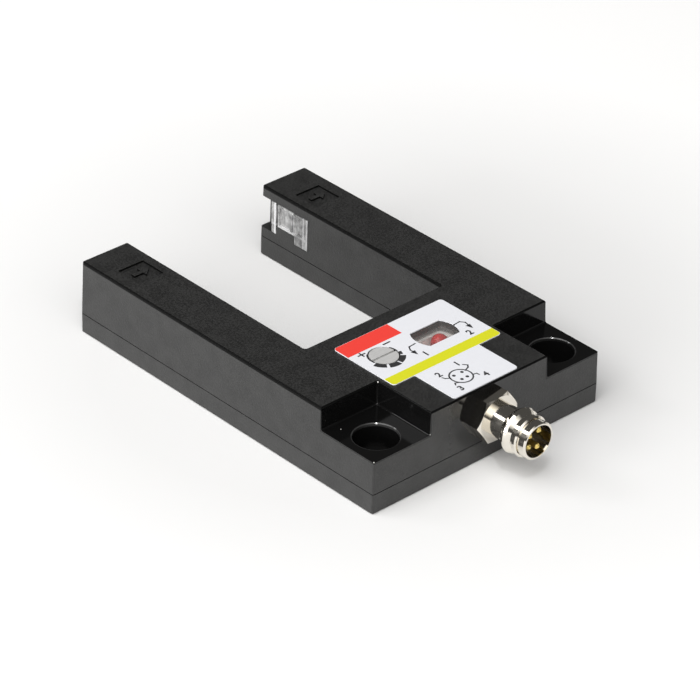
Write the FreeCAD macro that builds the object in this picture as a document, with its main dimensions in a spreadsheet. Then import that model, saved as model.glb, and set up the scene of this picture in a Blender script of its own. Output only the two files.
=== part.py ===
"""Fork sensor: a U-shaped photoelectric sensor with an M8 plug connector.

Frame: X across the fork, +Y towards the tips of the arms, +Z up, millimetres. The origin is midway
between the two mounting holes, on the base. Sketches measure Y from the rear face, and every
sub-part's placement then moves that face behind the hole line.
"""
import FreeCAD, Part
import math
import os
import Sketcher

Vector = FreeCAD.Vector
doc = FreeCAD.newDocument("fork_sensor")
sheet = doc.addObject("Spreadsheet::Sheet", "sizes")

SIZES = [
    ("slot_width", 30.0, "clear gap between the arms at the parting line"),
    ("slot_depth", 44.7, "bridge to arm tips"),
    ("arm_width", 10.2, "each arm at the parting line"),
    ("bridge_depth", 27.3, "rear face to the root of the slot"),
    ("body_height", 13.8, "base to top face"),
    ("parting_height", 3.8, "base to the joint between the two housings"),
    ("wall", 1.2, "side walls of both housings"),
    ("rear_wall", 2.0, "wall that carries the connector"),
    ("top_wall", 1.4, "roof of the upper housing"),
    ("base_wall", 1.4, "floor of the lower housing"),
    ("draft_angle", 1.3, "lean of the upper housing's walls, degrees"),
    ("corner_radius", 0.35, "upright outer edges"),
    ("slot_radius", 0.6, "upright edges at the root of the slot"),
    ("edge_round", 0.3, "edges of the top face"),
    ("base_chamfer", 0.2, "edge of the base"),
    ("seam_chamfer", 0.15, "upper edge of the lower housing"),
    ("lip_height", 0.8, "locating lip above the parting line"),
    ("lip_wall", 0.8, "thickness of the lip"),
    ("lip_gap", 0.1, "clearance round the lip"),
    ("pocket_width", 12.1, "mounting pocket across the fork"),
    ("pocket_depth", 12.3, "mounting pocket from the rear face"),
    ("pocket_drop", 4.15, "top face to the floor of the mounting pockets"),
    ("pocket_draft", 2.5, "lean of the pocket's walls, degrees"),
    ("pocket_round", 0.3, "edges of the pocket"),
    ("hole_edge", 5.6, "outer sides to the mounting holes"),
    ("hole_setback", 5.5, "rear face to the mounting holes"),
    ("hole_diameter", 4.5, "clearance for a 4 mm screw"),
    ("counterbore_diameter", 7.6, "seat of the screw head"),
    ("screw_seat", 5.25, "base to the seat of the screw head"),
    ("rim_break", 0.15, "edge of the screw head's seat"),
    ("rim_angle", 45.0, "bevel of that edge, degrees"),
    ("window_x", 3.85, "centre of the indicator window"),
    ("window_y", 16.85, "centre of the indicator window"),
    ("window_diameter", 8.0, "opening for the window, between its curved ends"),
    ("window_flats", 4.7, "opening for the window, between its straight sides"),
    ("window_gap", 0.05, "clearance round the window"),
    ("window_roof", 0.7, "thickness of the clear roof"),
    ("window_wall", 0.5, "thickness of the clear sides"),
    ("window_rise", 0.1, "window above the top face"),
    ("flange_width", 0.8, "flange of the window under the roof"),
    ("flange_thick", 0.6, "flange of the window under the roof"),
    ("trimmer_x", -7.15, "axis of the adjuster"),
    ("trimmer_y", 17.2, "axis of the adjuster"),
    ("head_diameter", 4.9, "slotted head of the adjuster"),
    ("head_depth", 1.0, "recess for the head"),
    ("head_gap", 0.15, "clearance round the head"),
    ("head_lift", 0.05, "head above the floor of its recess"),
    ("head_rise", 0.15, "head above the top face"),
    ("head_slot_width", 0.4, "screwdriver slot"),
    ("head_slot_depth", 0.5, "screwdriver slot"),
    ("stem_diameter", 3.2, "stem of the adjuster"),
    ("stem_gap", 0.1, "running clearance round the stem"),
    ("guide_length", 1.0, "guide tube under the roof"),
    ("guide_wall", 1.3, "guide tube's wall"),
    ("collar_diameter", 3.9, "snap collar under the guide"),
    ("collar_thick", 0.5, "snap collar under the guide"),
    ("stem_tail", 0.45, "stem below its snap collar"),
    ("seal_width", 0.6, "seal in the stem's groove"),
    ("seal_depth", 0.5, "depth of the stem's groove"),
    ("blade_width", 2.0, "blade that drives the trimmer"),
    ("blade_thick", 0.6, "blade that drives the trimmer"),
    ("blade_depth", 0.45, "blade inside the trimmer's slot"),
    ("pot_side", 6.6, "trimmer potentiometer, square"),
    ("rotor_diameter", 3.6, "turning disc of the potentiometer"),
    ("rotor_thick", 1.4, "turning disc of the potentiometer"),
    ("rotor_gap", 0.1, "clearance round the disc"),
    ("label_thick", 0.15, "printed label"),
    ("label_edge", 1.1, "label to the side of the mounting pocket"),
    ("label_rear", 9.7, "rear edge of the label's wide part"),
    ("label_front", 23.9, "front edge of the label"),
    ("tongue_x", -0.3, "centre of the label's tongue"),
    ("tongue_width", 14.2, "label's tongue between the pockets"),
    ("tongue_rear", 0.65, "rear edge of the tongue"),
    ("label_radius", 0.6, "outer corners of the label"),
    ("label_fillet", 0.25, "inner corners of the label"),
    ("label_gap", 0.1, "label's cut-outs past the openings"),
    ("mark_size", 5.4, "sunk square at each arm tip"),
    ("mark_setback", 9.3, "arm tip to the square's centre"),
    ("mark_offset", 4.8, "slot's side to the square's centre"),
    ("mark_depth", 0.35, "sunk square at each arm tip"),
    ("arrow_shaft", 0.8, "width of the arrow's shaft"),
    ("arrow_head", 2.4, "width of the arrow's head"),
    ("arrow_length", 3.4, "raised arrow along the beam"),
    ("arrow_point", 1.5, "length of the arrow's head"),
    ("notch_length", 12.1, "lens notch from the arm tip"),
    ("notch_bottom", 5.6, "ledge under the lens"),
    ("cap_thick", 2.1, "cap over the lens"),
    ("notch_depth", 2.2, "lens notch into the arm"),
    ("notch_wall", 1.0, "wall between the notch and the inside"),
    ("sill_start", 3.4, "inner end of the notch to the sill"),
    ("sill_length", 4.6, "raised sill under the lens's window"),
    ("sill_rise", 1.6, "raised sill above the ledge"),
    ("aperture_length", 4.4, "opening for the lens's core, along the arm"),
    ("aperture_rim", 0.45, "notch past the core's opening, up and down"),
    ("lens_length", 9.6, "lens along the arm"),
    ("lens_gap", 0.05, "clearance round the lens"),
    ("lens_column", 1.55, "column at the tip end of the lens"),
    ("lens_jamb", 1.2, "column at the inner end of the lens"),
    ("lens_groove", 0.45, "groove between the window and the tip column"),
    ("lens_frame", 0.4, "raised frame over and under the window"),
    ("lens_rib", 0.5, "upright rib in the middle of the window"),
    ("lens_recess", 0.25, "window of the lens below its frame"),
    ("lens_cut", 0.8, "depth of the groove"),
    ("lens_round", 0.6, "rounded end of the lens"),
    ("dome_margin", 0.15, "lens's core past its dome"),
    ("dome_height", 0.6, "lens dome inside the arm"),
    ("board_height", 5.6, "base to the circuit board's underside"),
    ("board_thick", 1.0, "circuit board"),
    ("board_gap", 0.4, "circuit board to the walls"),
    ("post_side", 2.6, "square posts under the board"),
    ("peg_diameter", 1.3, "pegs through the board"),
    ("peg_gap", 0.05, "clearance round the pegs"),
    ("peg_rise", 0.5, "pegs above the board"),
    ("axis_share", 0.47, "connector's axis, as a share of the upper housing's height"),
    ("plug_length", 11.0, "connector past the rear face"),
    ("seat_gap", 0.03, "clearance round the hexagon's corners"),
    ("hex_share", 0.8, "hexagon across flats, as a share of that height"),
    ("hex_length", 2.2, "hexagon past the rear face"),
    ("hex_angle", 5.0, "turn of the hexagon, degrees"),
    ("hex_bevel", 30.0, "bevel of the hexagon's corners, degrees"),
    ("shank_diameter", 6.0, "connector's shank through the wall"),
    ("shank_gap", 0.05, "clearance round the shank"),
    ("shank_end", 4.2, "shank past the rear face, inwards"),
    ("neck_diameter", 5.9, "neck behind the rings"),
    ("ring_diameter", 8.0, "large ring of the plug"),
    ("ring_start", 5.4, "large ring's rear edge, outwards"),
    ("ring_length", 2.5, "large ring between the feet of its slopes"),
    ("ring_bevel", 0.45, "bevels between the slopes and the crest of the large ring"),
    ("ring_drop", 0.2, "height of those bevels"),
    ("latch_diameter", 7.3, "small ring of the plug"),
    ("latch_start", 8.35, "small ring's rear edge, outwards"),
    ("latch_length", 1.0, "small ring"),
    ("latch_bevel", 0.25, "small ring's edges"),
    ("groove_diameter", 6.5, "groove between the rings"),
    ("throat_diameter", 6.1, "groove behind the front collar"),
    ("throat_length", 0.35, "groove behind the front collar"),
    ("collar_outer", 6.6, "front collar of the plug"),
    ("rim_chamfer", 0.2, "edge of the front collar"),
    ("mouth_diameter", 5.7, "mouth of the plug"),
    ("mouth_depth", 4.5, "mouth of the plug"),
    ("core_diameter", 4.8, "bore behind the mouth"),
    ("carrier_flange", 0.6, "carrier's head at the foot of the mouth"),
    ("carrier_gap", 0.03, "clearance round the contact carrier"),
    ("carrier_end", 5.4, "contact carrier past the rear face, inwards"),
    ("key_angle", -48.0, "key in the mouth, degrees from X"),
    ("key_width", 0.9, "key in the mouth"),
    ("key_height", 0.45, "key in the mouth"),
    ("key_root", 0.1, "key into the wall of the mouth"),
    ("key_setback", 0.15, "key behind the rim"),
    ("pin_diameter", 1.0, "contact pins"),
    ("pin_circle", 3.3, "circle through the contact pins"),
    ("pin_tilt", -3.5, "middle of the two near pins, degrees from X"),
    ("pin_near", 65.0, "near pins either side of it, degrees"),
    ("pin_far", 142.0, "far pins either side of it, degrees"),
    ("pin_setback", 0.5, "pin tips behind the rim"),
    ("pin_bevel", 0.3, "bevel of the pin tips"),
    ("pin_tail", 0.6, "solder tails of the pins"),
    ("tail_rise", 0.5, "leads past the underside of the circuit board"),
    ("seal_thick", 0.9, "connector seal along the axis"),
    ("seal_ring", 0.9, "connector seal's ring"),
    ("seal_gap", 0.03, "clearance round the connector seal"),
    ("nut_diameter", 7.5, "round nut inside the rear wall"),
    ("nut_length", 1.9, "round nut inside the rear wall"),
    ("nut_slot", 1.2, "slots of the round nut"),
    ("nut_slot_depth", 0.6, "slots of the round nut"),
    ("nut_gap", 0.1, "flat seat past the nut"),
    ("end_board_width", 10.0, "connector board across"),
    ("end_board_bottom", 4.9, "connector board above the base"),
    ("end_board_gap", 0.5, "connector board below the roof"),
    ("led_x", 5.2, "red signal diode"),
    ("led_y", 17.0, "red signal diode"),
    ("led_diameter", 3.0, "red signal diode"),
    ("led_drop", 0.8, "top face to the top of the diode's dome"),
    ("led_length", 5.0, "body of the diode"),
    ("led_lead", 0.5, "leads of the diode"),
    ("led_pitch", 1.27, "leads from the diode's axis"),
    ("lead_gap", 0.05, "clearance round leads in the board"),
    ("holder_length", 9.4, "light holder across the fork"),
    ("holder_width", 6.2, "light holder along the fork"),
    ("holder_gap", 0.1, "clearance round the diode"),
    ("bowl_depth", 1.6, "reflecting bowl"),
    ("power_led_x", 1.2, "power diode"),
    ("chip_length", 1.6, "power diode"),
    ("chip_width", 0.9, "power diode"),
    ("chip_height", 0.7, "power diode"),
    ("well_side", 2.2, "light well over the power diode"),
    ("optic_setback", 7.0, "arm tip to the beam"),
    ("package_length", 4.5, "emitter and receiver along the arm"),
    ("package_thick", 2.0, "emitter and receiver across the arm"),
    ("package_gap", 0.1, "clearance in the holders"),
    ("package_setback", 1.6, "inner wall to the package's face"),
    ("bead_step", 0.8, "lens dome past the beads on the packages, in diameter"),
    ("bead_height", 0.5, "beads on the emitter and the receiver"),
    ("hood_wall", 0.8, "walls of the hoods over the emitter and the receiver"),
    ("hood_gap", 0.1, "hoods below the roof"),
    ("circuit_x", 14.8, "moulded circuits from the middle"),
    ("signal_length", 4.9, "signal circuit"),
    ("regulator_length", 3.9, "voltage regulator"),
    ("circuit_width", 3.9, "moulded circuits"),
    ("circuit_height", 1.4, "moulded circuits"),
    ("circuit_lead", 1.0, "leads past the moulded circuits"),
    ("circuit_foot", 0.12, "moulded circuits above the board"),
    ("passive_length", 2.0, "resistors and capacitors"),
    ("passive_width", 1.25, "resistors and capacitors"),
    ("resistor_height", 0.6, "resistors"),
    ("capacitor_height", 1.1, "capacitors"),
    ("lane_pitch", 2.4, "two lanes of resistors on an arm"),
    ("pair_pitch", 4.0, "two capacitors of a pair"),
    ("post_near", 18.0, "near posts from the rear face"),
    ("post_setback", 22.0, "arm tip to the far posts"),
]

for row, (name, number, note) in enumerate(SIZES, start=1):
    sheet.set(f"A{row}", name)
    sheet.set(f"B{row}", str(number))
    sheet.set(f"C{row}", note)
    sheet.setAlias(f"B{row}", name)
doc.recompute()


class Size:
    """A length with its number and the spreadsheet expression that it comes from."""

    def __init__(self, text, number):
        self.text = text
        self.number = number

    @staticmethod
    def of(other):
        return other if isinstance(other, Size) else Size(repr(float(other)), float(other))

    def __add__(self, other):
        other = Size.of(other)
        return Size(f"({self.text} + {other.text})", self.number + other.number)

    def __radd__(self, other):
        return Size.of(other) + self

    def __sub__(self, other):
        other = Size.of(other)
        return Size(f"({self.text} - {other.text})", self.number - other.number)

    def __rsub__(self, other):
        return Size.of(other) - self

    def __mul__(self, factor):
        factor = Size.of(factor)
        return Size(f"({self.text} * {factor.text})", self.number * factor.number)

    def __rmul__(self, factor):
        return Size.of(factor) * self

    def __truediv__(self, factor):
        factor = Size.of(factor)
        return Size(f"({self.text} / {factor.text})", self.number / factor.number)

    def __neg__(self):
        return 0 - self


class Sizes:
    """The spreadsheet's cells by name."""

    def __getattr__(self, name):
        return Size(f"sizes.{name}", float(sheet.get(name)))


S = Sizes()
PAST = Size.of(2.0)
half_width = S.slot_width / 2 + S.arm_width
slot_side = S.slot_width / 2
length = S.bridge_depth + S.slot_depth
roof = S.body_height - S.top_wall
board_top = S.board_height + S.board_thick
pocket_side = half_width - S.pocket_width
pocket_height = S.body_height - S.pocket_drop
hole_spacing = 2 * (half_width - S.hole_edge)
upper_height = S.body_height - S.parting_height
axis_height = S.parting_height + S.axis_share * upper_height
hex_flats = S.hex_share * upper_height
post_far = length - S.post_setback

notch_start = length - S.notch_length
notch_top = S.body_height - S.cap_thick
sill_start = notch_start + S.sill_start
sill_end = sill_start + S.sill_length
sill_top = S.notch_bottom + S.sill_rise
optic_y = length - S.optic_setback
optic_height = (sill_top + notch_top) / 2
aperture_height = notch_top - sill_top - 2 * S.aperture_rim
core_height = aperture_height - 2 * S.lens_gap
dome_diameter = core_height - 2 * S.dome_margin
led_top = S.body_height - S.led_drop


def root(size):
    """Square root of a size."""
    return Size(f"sqrt({size.text})", math.sqrt(size.number))


def sine(angle):
    return Size(f"sin({angle.text})", math.sin(math.radians(angle.number)))


def cosine(angle):
    return Size(f"cos({angle.text})", math.cos(math.radians(angle.number)))


def tangent(angle):
    return Size(f"tan({angle.text})", math.tan(math.radians(angle.number)))


def bind(item, path, size):
    item.setExpression(path, Size.of(size).text)


def new_body(label, x=0, y=0, z=0):
    """A body whose own Y starts at the rear face, or at y from it."""
    body = doc.addObject("PartDesign::Body", label)
    body.Label = label
    bind(body, "Placement.Base.x", x)
    bind(body, "Placement.Base.y", y - S.hole_setback)
    bind(body, "Placement.Base.z", z)
    return body


def new_sketch(body, plane="XY", offset=0, turn=0):
    """A sketch on one of the body's own planes, moved along its normal and turned about it."""
    sketch = body.newObject("Sketcher::SketchObject", f"{body.Label}_profile")
    face = next(item for item in body.Origin.OriginFeatures if item.Role == f"{plane}_Plane")
    sketch.AttachmentSupport = [(face, "")]
    sketch.MapMode = "FlatFace"
    sketch.AttachmentOffset = FreeCAD.Placement(Vector(), Vector(0, 0, 1), Size.of(turn).number)
    bind(sketch, "AttachmentOffset.Base.z", offset)
    bind(sketch, "AttachmentOffset.Rotation.Angle", turn)
    return sketch


def constrain(sketch, geometric, sized):
    """Add constraints, and bind those that have a size."""
    first = sketch.ConstraintCount
    made = geometric + [Sketcher.Constraint(*parts, size.number) for parts, size in sized]
    sketch.addConstraint(made)
    for n, (parts, size) in enumerate(sized, start=first + len(geometric)):
        sketch.renameConstraint(n, f"{parts[0]}_{n}")
        bind(sketch, f"Constraints.{parts[0]}_{n}", size)


def place_of(edge, end, x, y):
    """The two sized constraints that set a point of an edge."""
    return [(("DistanceX", -1, 1, edge, end), x), (("DistanceY", -1, 1, edge, end), y)]


def outline(sketch, corners):
    """Closed outline of straight lines."""
    corners = [(Size.of(x), Size.of(y)) for x, y in corners]
    spots = [Vector(x.number, y.number, 0) for x, y in corners]
    first = sketch.GeometryCount
    sketch.addGeometry([Part.LineSegment(a, b) for a, b in zip(spots, spots[1:] + spots[:1])])
    count = len(corners)
    joins = [
        Sketcher.Constraint("Coincident", first + n, 2, first + (n + 1) % count, 1)
        for n in range(count)
    ]
    sized = []
    for n, (x, y) in enumerate(corners):
        sized += place_of(first + n, 1, x, y)
    constrain(sketch, joins, sized)
    return sketch


def rectangle(sketch, x, y, width, depth):
    """Rectangle about a centre."""
    x, y, width, depth = (Size.of(item) for item in (x, y, width, depth))
    left, right = x - width / 2, x + width / 2
    low, high = y - depth / 2, y + depth / 2
    return outline(sketch, [(left, low), (right, low), (right, high), (left, high)])


def circle(sketch, x, y, diameter):
    x, y, diameter = Size.of(x), Size.of(y), Size.of(diameter)
    centre = Vector(x.number, y.number, 0)
    edge = sketch.addGeometry(Part.Circle(centre, Vector(0, 0, 1), diameter.number / 2))
    constrain(sketch, [], place_of(edge, 3, x, y) + [(("Diameter", edge), diameter)])
    return sketch


def flatted(sketch, x, y, diameter, flats):
    """Disc cut by two straight sides along the sketch's X, flats apart."""
    half = root(diameter * diameter - flats * flats) / 2
    corners = [
        (x - half, y - flats / 2),
        (x + half, y - flats / 2),
        (x + half, y + flats / 2),
        (x - half, y + flats / 2),
    ]
    spots = [Vector(a.number, b.number, 0) for a, b in corners]
    right = Vector((x + diameter / 2).number, y.number, 0)
    left = Vector((x - diameter / 2).number, y.number, 0)
    first = sketch.GeometryCount
    sketch.addGeometry(
        [
            Part.LineSegment(spots[0], spots[1]),
            Part.Arc(spots[1], right, spots[2]),
            Part.LineSegment(spots[2], spots[3]),
            Part.Arc(spots[3], left, spots[0]),
        ]
    )
    joins = [
        Sketcher.Constraint("Coincident", first + n, 2, first + (n + 1) % 4, 1) for n in range(4)
    ]
    sized = place_of(first, 1, *corners[0]) + place_of(first, 2, *corners[1])
    sized += place_of(first + 2, 1, *corners[2]) + place_of(first + 2, 2, *corners[3])
    sized += [(("Radius", first + 1), diameter / 2), (("Radius", first + 3), diameter / 2)]
    constrain(sketch, joins, sized)
    return sketch


volumes = {}


def make(body, kind, sketch, grows, **settings):
    """One PartDesign feature from a sketch, which has to add or remove material."""
    before = volumes.get(body.Name, 0.0)
    feature = body.newObject(f"PartDesign::{kind}", f"{body.Label}_{kind.lower()}")
    feature.Profile = sketch
    for name, value in settings.items():
        if isinstance(value, Size):
            bind(feature, name, value)
        else:
            setattr(feature, name, value)
    doc.recompute()
    if "Invalid" in feature.State:
        raise RuntimeError(f"{feature.Name} failed")
    after = feature.Shape.Volume
    if after <= 0 or (after > before) != grows:
        raise RuntimeError(f"{feature.Name} went from {before:.2f} to {after:.2f}")
    volumes[body.Name] = after
    return feature


def pad(body, sketch, size, **settings):
    return make(body, "Pad", sketch, True, Length=Size.of(size), **settings)


def pocket(body, sketch, size, **settings):
    return make(body, "Pocket", sketch, False, Length=Size.of(size), **settings)


def revolve(body, sketch, axis="H_Axis"):
    return make(body, "Revolution", sketch, True, ReferenceAxis=(sketch, [axis]), Angle=360.0)


def groove(body, sketch, axis="H_Axis"):
    return make(body, "Groove", sketch, False, ReferenceAxis=(sketch, [axis]), Angle=360.0)


def dress(body, kind, wanted, **settings):
    """Fillet or chamfer of the edges that a test picks from the body as it stands."""
    base = body.Tip
    names = [f"Edge{n}" for n, edge in enumerate(base.Shape.Edges, start=1) if wanted(edge)]
    if not names:
        raise RuntimeError(f"{body.Label}: no edges for {kind}")
    feature = body.newObject(f"PartDesign::{kind}", f"{body.Label}_{kind.lower()}")
    feature.Base = (base, names)
    for name, value in settings.items():
        bind(feature, name, value)
    doc.recompute()
    if "Invalid" in feature.State:
        raise RuntimeError(f"{feature.Name} failed on {names}")
    volumes[body.Name] = feature.Shape.Volume
    return feature


def draft(body, wanted, neutral, angle):
    """Lean of the walls that a test picks, about the flat face at a height."""
    base = body.Tip
    faces = list(enumerate(base.Shape.Faces, start=1))
    names = [f"Face{n}" for n, face in faces if wanted(face)]
    level = next(f"Face{n}" for n, face in faces if lies_at(face, neutral))
    feature = body.newObject("PartDesign::Draft", f"{body.Label}_draft")
    feature.Base = (base, names)
    feature.NeutralPlane = (base, [level])
    bind(feature, "Angle", angle)
    doc.recompute()
    if "Invalid" in feature.State:
        raise RuntimeError(f"{feature.Name} failed on {names}")
    volumes[body.Name] = feature.Shape.Volume
    return feature


def lies_at(face, z):
    """True for a level face at a height."""
    box = face.BoundBox
    return near(box.ZMin, z.number, 1e-4) and near(box.ZMax, z.number, 1e-4)


def is_wall(face):
    return abs(face.normalAt(0, 0).z) < 1e-6


def ends(edge):
    return [vertex.Point for vertex in edge.Vertexes]


def upright(edge, reach=0.5):
    """True for an edge that runs up, leaning no more than the walls do."""
    if len(edge.Vertexes) != 2:
        return False
    a, b = ends(edge)
    return abs(a.z - b.z) > 1.0 and math.hypot(a.x - b.x, a.y - b.y) < reach


def near(value, target, reach=0.35):
    return abs(value - target) < reach


def at_height(edge, z):
    return all(near(point.z, z.number, 1e-4) for point in ends(edge))


def fork(inset, rear, tongue=None):
    """Corners of the U, inset from the outer faces, stepped in behind the lens notches.

    With a tongue, the rear part is only as wide as the block between the mounting pockets.
    """
    inset = Size.of(inset)
    outer, inner = half_width - inset, slot_side + inset
    tip, saddle = length - inset, S.bridge_depth - inset
    step_x = slot_side + S.notch_depth + S.notch_wall + (inset - S.wall)
    step_y = notch_start - inset
    right = [(outer, rear)]
    if tongue is not None:
        shoulder = S.pocket_depth + inset
        right = [(tongue, rear), (tongue, shoulder), (outer, shoulder)]
    right += [(outer, tip), (step_x, tip), (step_x, step_y), (inner, step_y), (inner, saddle)]
    return right + [(-x, y) for x, y in reversed(right)]


def outside(sketch):
    """The U as seen from above, at the parting line."""
    right = [(half_width, 0), (half_width, length), (slot_side, length), (slot_side, S.bridge_depth)]
    return outline(sketch, right + [(-x, y) for x, y in reversed(right)])


def is_outer_corner(edge):
    if not upright(edge):
        return False
    point = ends(edge)[0]
    wide = near(abs(point.x), half_width.number) and (near(point.y, 0) or near(point.y, length.number))
    return wide or (near(abs(point.x), slot_side.number) and near(point.y, length.number))


def is_slot_corner(edge):
    if not upright(edge):
        return False
    point = ends(edge)[0]
    return near(abs(point.x), slot_side.number) and near(point.y, S.bridge_depth.number)


def holes(sketch, diameter):
    """The two mounting holes."""
    for side in (-1, 1):
        circle(sketch, side * hole_spacing / 2, S.hole_setback, diameter)
    return sketch


def hexagon(sketch, y, corner):
    """The connector's hexagon about a height, turned as it stands."""
    turns = [S.hex_angle + 60 * n for n in range(6)]
    return outline(sketch, [(corner * cosine(turn), y + corner * sine(turn)) for turn in turns])


boss_diameter = S.counterbore_diameter + 2 * S.wall
hex_across = hex_flats / cosine(Size.of(30))
seat_y = upper_height * tangent(S.draft_angle)


def make_upper_housing():
    body = new_body("upper_housing")
    lean = -S.draft_angle
    pad(body, outside(new_sketch(body, offset=S.parting_height)), upper_height)
    draft(body, is_wall, S.parting_height, S.draft_angle)
    dress(body, "Fillet", is_outer_corner, Radius=S.corner_radius)
    dress(body, "Fillet", is_slot_corner, Radius=S.slot_radius)

    corners = new_sketch(body, offset=pocket_height)
    for side in (-1, 1):
        outline(corners, [
            (side * pocket_side, -PAST),
            (side * (half_width + PAST), -PAST),
            (side * (half_width + PAST), S.pocket_depth),
            (side * pocket_side, S.pocket_depth),
        ])
    pocket(body, corners, S.body_height - pocket_height + PAST, Reversed=True)
    draft(body, is_pocket_wall, pocket_height, S.pocket_draft)
    dress(body, "Fillet", is_pocket_corner, Radius=S.pocket_round)
    dress(body, "Fillet", lambda edge: at_height(edge, S.body_height), Radius=S.edge_round)

    inner = outline(new_sketch(body, offset=S.parting_height), fork(S.wall, S.rear_wall))
    under_pocket = pocket_height - S.top_wall
    pocket(body, inner, under_pocket - S.parting_height, Reversed=True, TaperAngle=lean)
    tall = outline(new_sketch(body, offset=S.parting_height),
                   fork(S.wall, S.rear_wall, pocket_side - S.wall))
    pocket(body, tall, roof - S.parting_height, Reversed=True, TaperAngle=lean)

    bosses = holes(new_sketch(body, offset=S.parting_height), boss_diameter)
    pad(body, bosses, pocket_height - S.parting_height - S.pocket_round)
    pocket(body, holes(new_sketch(body, offset=pocket_height), S.counterbore_diameter),
           pocket_height - S.screw_seat)
    pocket(body, holes(new_sketch(body, offset=pocket_height),
                       S.counterbore_diameter + 2 * S.rim_break), S.rim_break,
           TaperAngle=-S.rim_angle)
    pocket(body, holes(new_sketch(body, offset=pocket_height), S.hole_diameter),
           pocket_height - S.parting_height + PAST)

    guide = circle(new_sketch(body, offset=roof), S.trimmer_x, S.trimmer_y,
                   S.stem_diameter + 2 * S.stem_gap + 2 * S.guide_wall)
    pad(body, guide, S.guide_length, Reversed=True)
    pocket(body, circle(new_sketch(body, offset=S.body_height), S.trimmer_x, S.trimmer_y,
                        S.head_diameter + 2 * S.head_gap), S.head_depth)
    pocket(body, circle(new_sketch(body, offset=S.body_height), S.trimmer_x, S.trimmer_y,
                        S.stem_diameter + 2 * S.stem_gap), S.top_wall + S.guide_length + PAST)
    pocket(body, flatted(new_sketch(body, offset=S.body_height), S.window_x, S.window_y,
                         S.window_diameter, S.window_flats), S.top_wall + PAST / 2)

    notch_reach = slot_side + S.notch_depth
    notch = outline(new_sketch(body, "YZ"), [
        (notch_start, S.notch_bottom),
        (sill_start, S.notch_bottom),
        (sill_start, sill_top),
        (sill_end, sill_top),
        (sill_end, S.notch_bottom),
        (length + PAST, S.notch_bottom),
        (length + PAST, notch_top),
        (notch_start, notch_top),
    ])
    pocket(body, notch, 2 * notch_reach, SideType="Symmetric")
    aperture = rectangle(new_sketch(body, "YZ"), optic_y, optic_height, S.aperture_length,
                         aperture_height)
    pocket(body, aperture, 2 * (notch_reach + S.notch_wall + S.board_gap), SideType="Symmetric")

    marks = new_sketch(body, offset=S.body_height)
    for side in (-1, 1):
        x, y = side * (slot_side + S.mark_offset), length - S.mark_setback
        rectangle(marks, x, y, S.mark_size, S.mark_size)
        neck = x + S.arrow_length / 2 - S.arrow_point
        outline(marks, [
            (x - S.arrow_length / 2, y - S.arrow_shaft / 2),
            (neck, y - S.arrow_shaft / 2),
            (neck, y - S.arrow_head / 2),
            (x + S.arrow_length / 2, y),
            (neck, y + S.arrow_head / 2),
            (neck, y + S.arrow_shaft / 2),
            (x - S.arrow_length / 2, y + S.arrow_shaft / 2),
        ])
    pocket(body, marks, S.mark_depth)

    seat = hexagon(new_sketch(body, "XZ", offset=PAST), axis_height, hex_across / 2 + S.seat_gap)
    pocket(body, seat, PAST + seat_y)
    well = circle(new_sketch(body, "XZ", offset=PAST), 0, axis_height,
                  S.shank_diameter + 2 * S.seal_ring + 4 * S.seal_gap)
    pocket(body, well, PAST + seat_y + S.seal_thick + S.seal_gap)
    bore = circle(new_sketch(body, "XZ", offset=PAST), 0, axis_height,
                  S.shank_diameter + 2 * S.shank_gap)
    pocket(body, bore, PAST + S.rear_wall + S.board_gap)
    flat = circle(new_sketch(body, "XZ", offset=-S.rear_wall), 0, axis_height,
                  S.nut_diameter + 2 * S.nut_gap)
    pocket(body, flat, S.nut_length)


def is_pocket_corner(edge):
    """The upright and floor edges of the mounting pockets."""
    if upright(edge):
        point = ends(edge)[0]
        return near(abs(point.x), pocket_side.number) and near(point.y, S.pocket_depth.number)
    return at_height(edge, pocket_height) and all(
        point.x * ends(edge)[0].x > 0
        and (near(abs(point.x), pocket_side.number, 0.01) or near(point.y, S.pocket_depth.number, 0.01))
        for point in ends(edge)
    )


def is_pocket_wall(face):
    """The upright walls of the mounting pockets."""
    if not is_wall(face):
        return False
    point = face.CenterOfMass
    return near(abs(point.x), pocket_side.number, 0.01) or near(point.y, S.pocket_depth.number, 0.01)


def make_lower_housing():
    """A tray with thick walls, whose upper part is the lip that locates the upper shell."""
    body = new_body("lower_housing")
    pad(body, outside(new_sketch(body)), S.parting_height)
    dress(body, "Fillet", is_outer_corner, Radius=S.corner_radius)
    dress(body, "Fillet", is_slot_corner, Radius=S.slot_radius)
    dress(body, "Chamfer", lambda edge: at_height(edge, Size.of(0)), Size=S.base_chamfer)
    dress(body, "Chamfer", lambda edge: at_height(edge, S.parting_height), Size=S.seam_chamfer)

    lip = outline(new_sketch(body, offset=S.parting_height),
                  fork(S.wall + S.lip_gap, S.rear_wall + S.lip_gap))
    pad(body, lip, S.lip_height)
    inner = S.lip_gap + S.lip_wall
    tray = outline(new_sketch(body, offset=S.base_wall), fork(S.wall + inner, S.rear_wall + inner))
    pocket(body, tray, S.parting_height + S.lip_height, Reversed=True)

    clear = holes(new_sketch(body, offset=S.parting_height), boss_diameter + 2 * S.lip_gap)
    pocket(body, clear, S.lip_height + PAST, Reversed=True)
    gap = rectangle(new_sketch(body, offset=S.parting_height), 0, S.rear_wall,
                    S.nut_diameter + 2 * S.nut_gap, 2 * (inner + S.wall))
    pocket(body, gap, S.lip_height + PAST, Reversed=True)
    pad(body, holes(new_sketch(body, offset=S.base_wall), boss_diameter),
        S.parting_height - S.base_wall)
    pocket(body, holes(new_sketch(body, offset=S.parting_height), S.hole_diameter),
           S.parting_height + PAST)

    feet = new_sketch(body, offset=S.base_wall)
    for x, y in post_places():
        rectangle(feet, x, y, S.post_side, S.post_side)
    pad(body, feet, S.board_height - S.base_wall)
    pad(body, pegs(new_sketch(body, offset=S.board_height), S.peg_diameter),
        S.board_thick + S.peg_rise)


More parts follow.
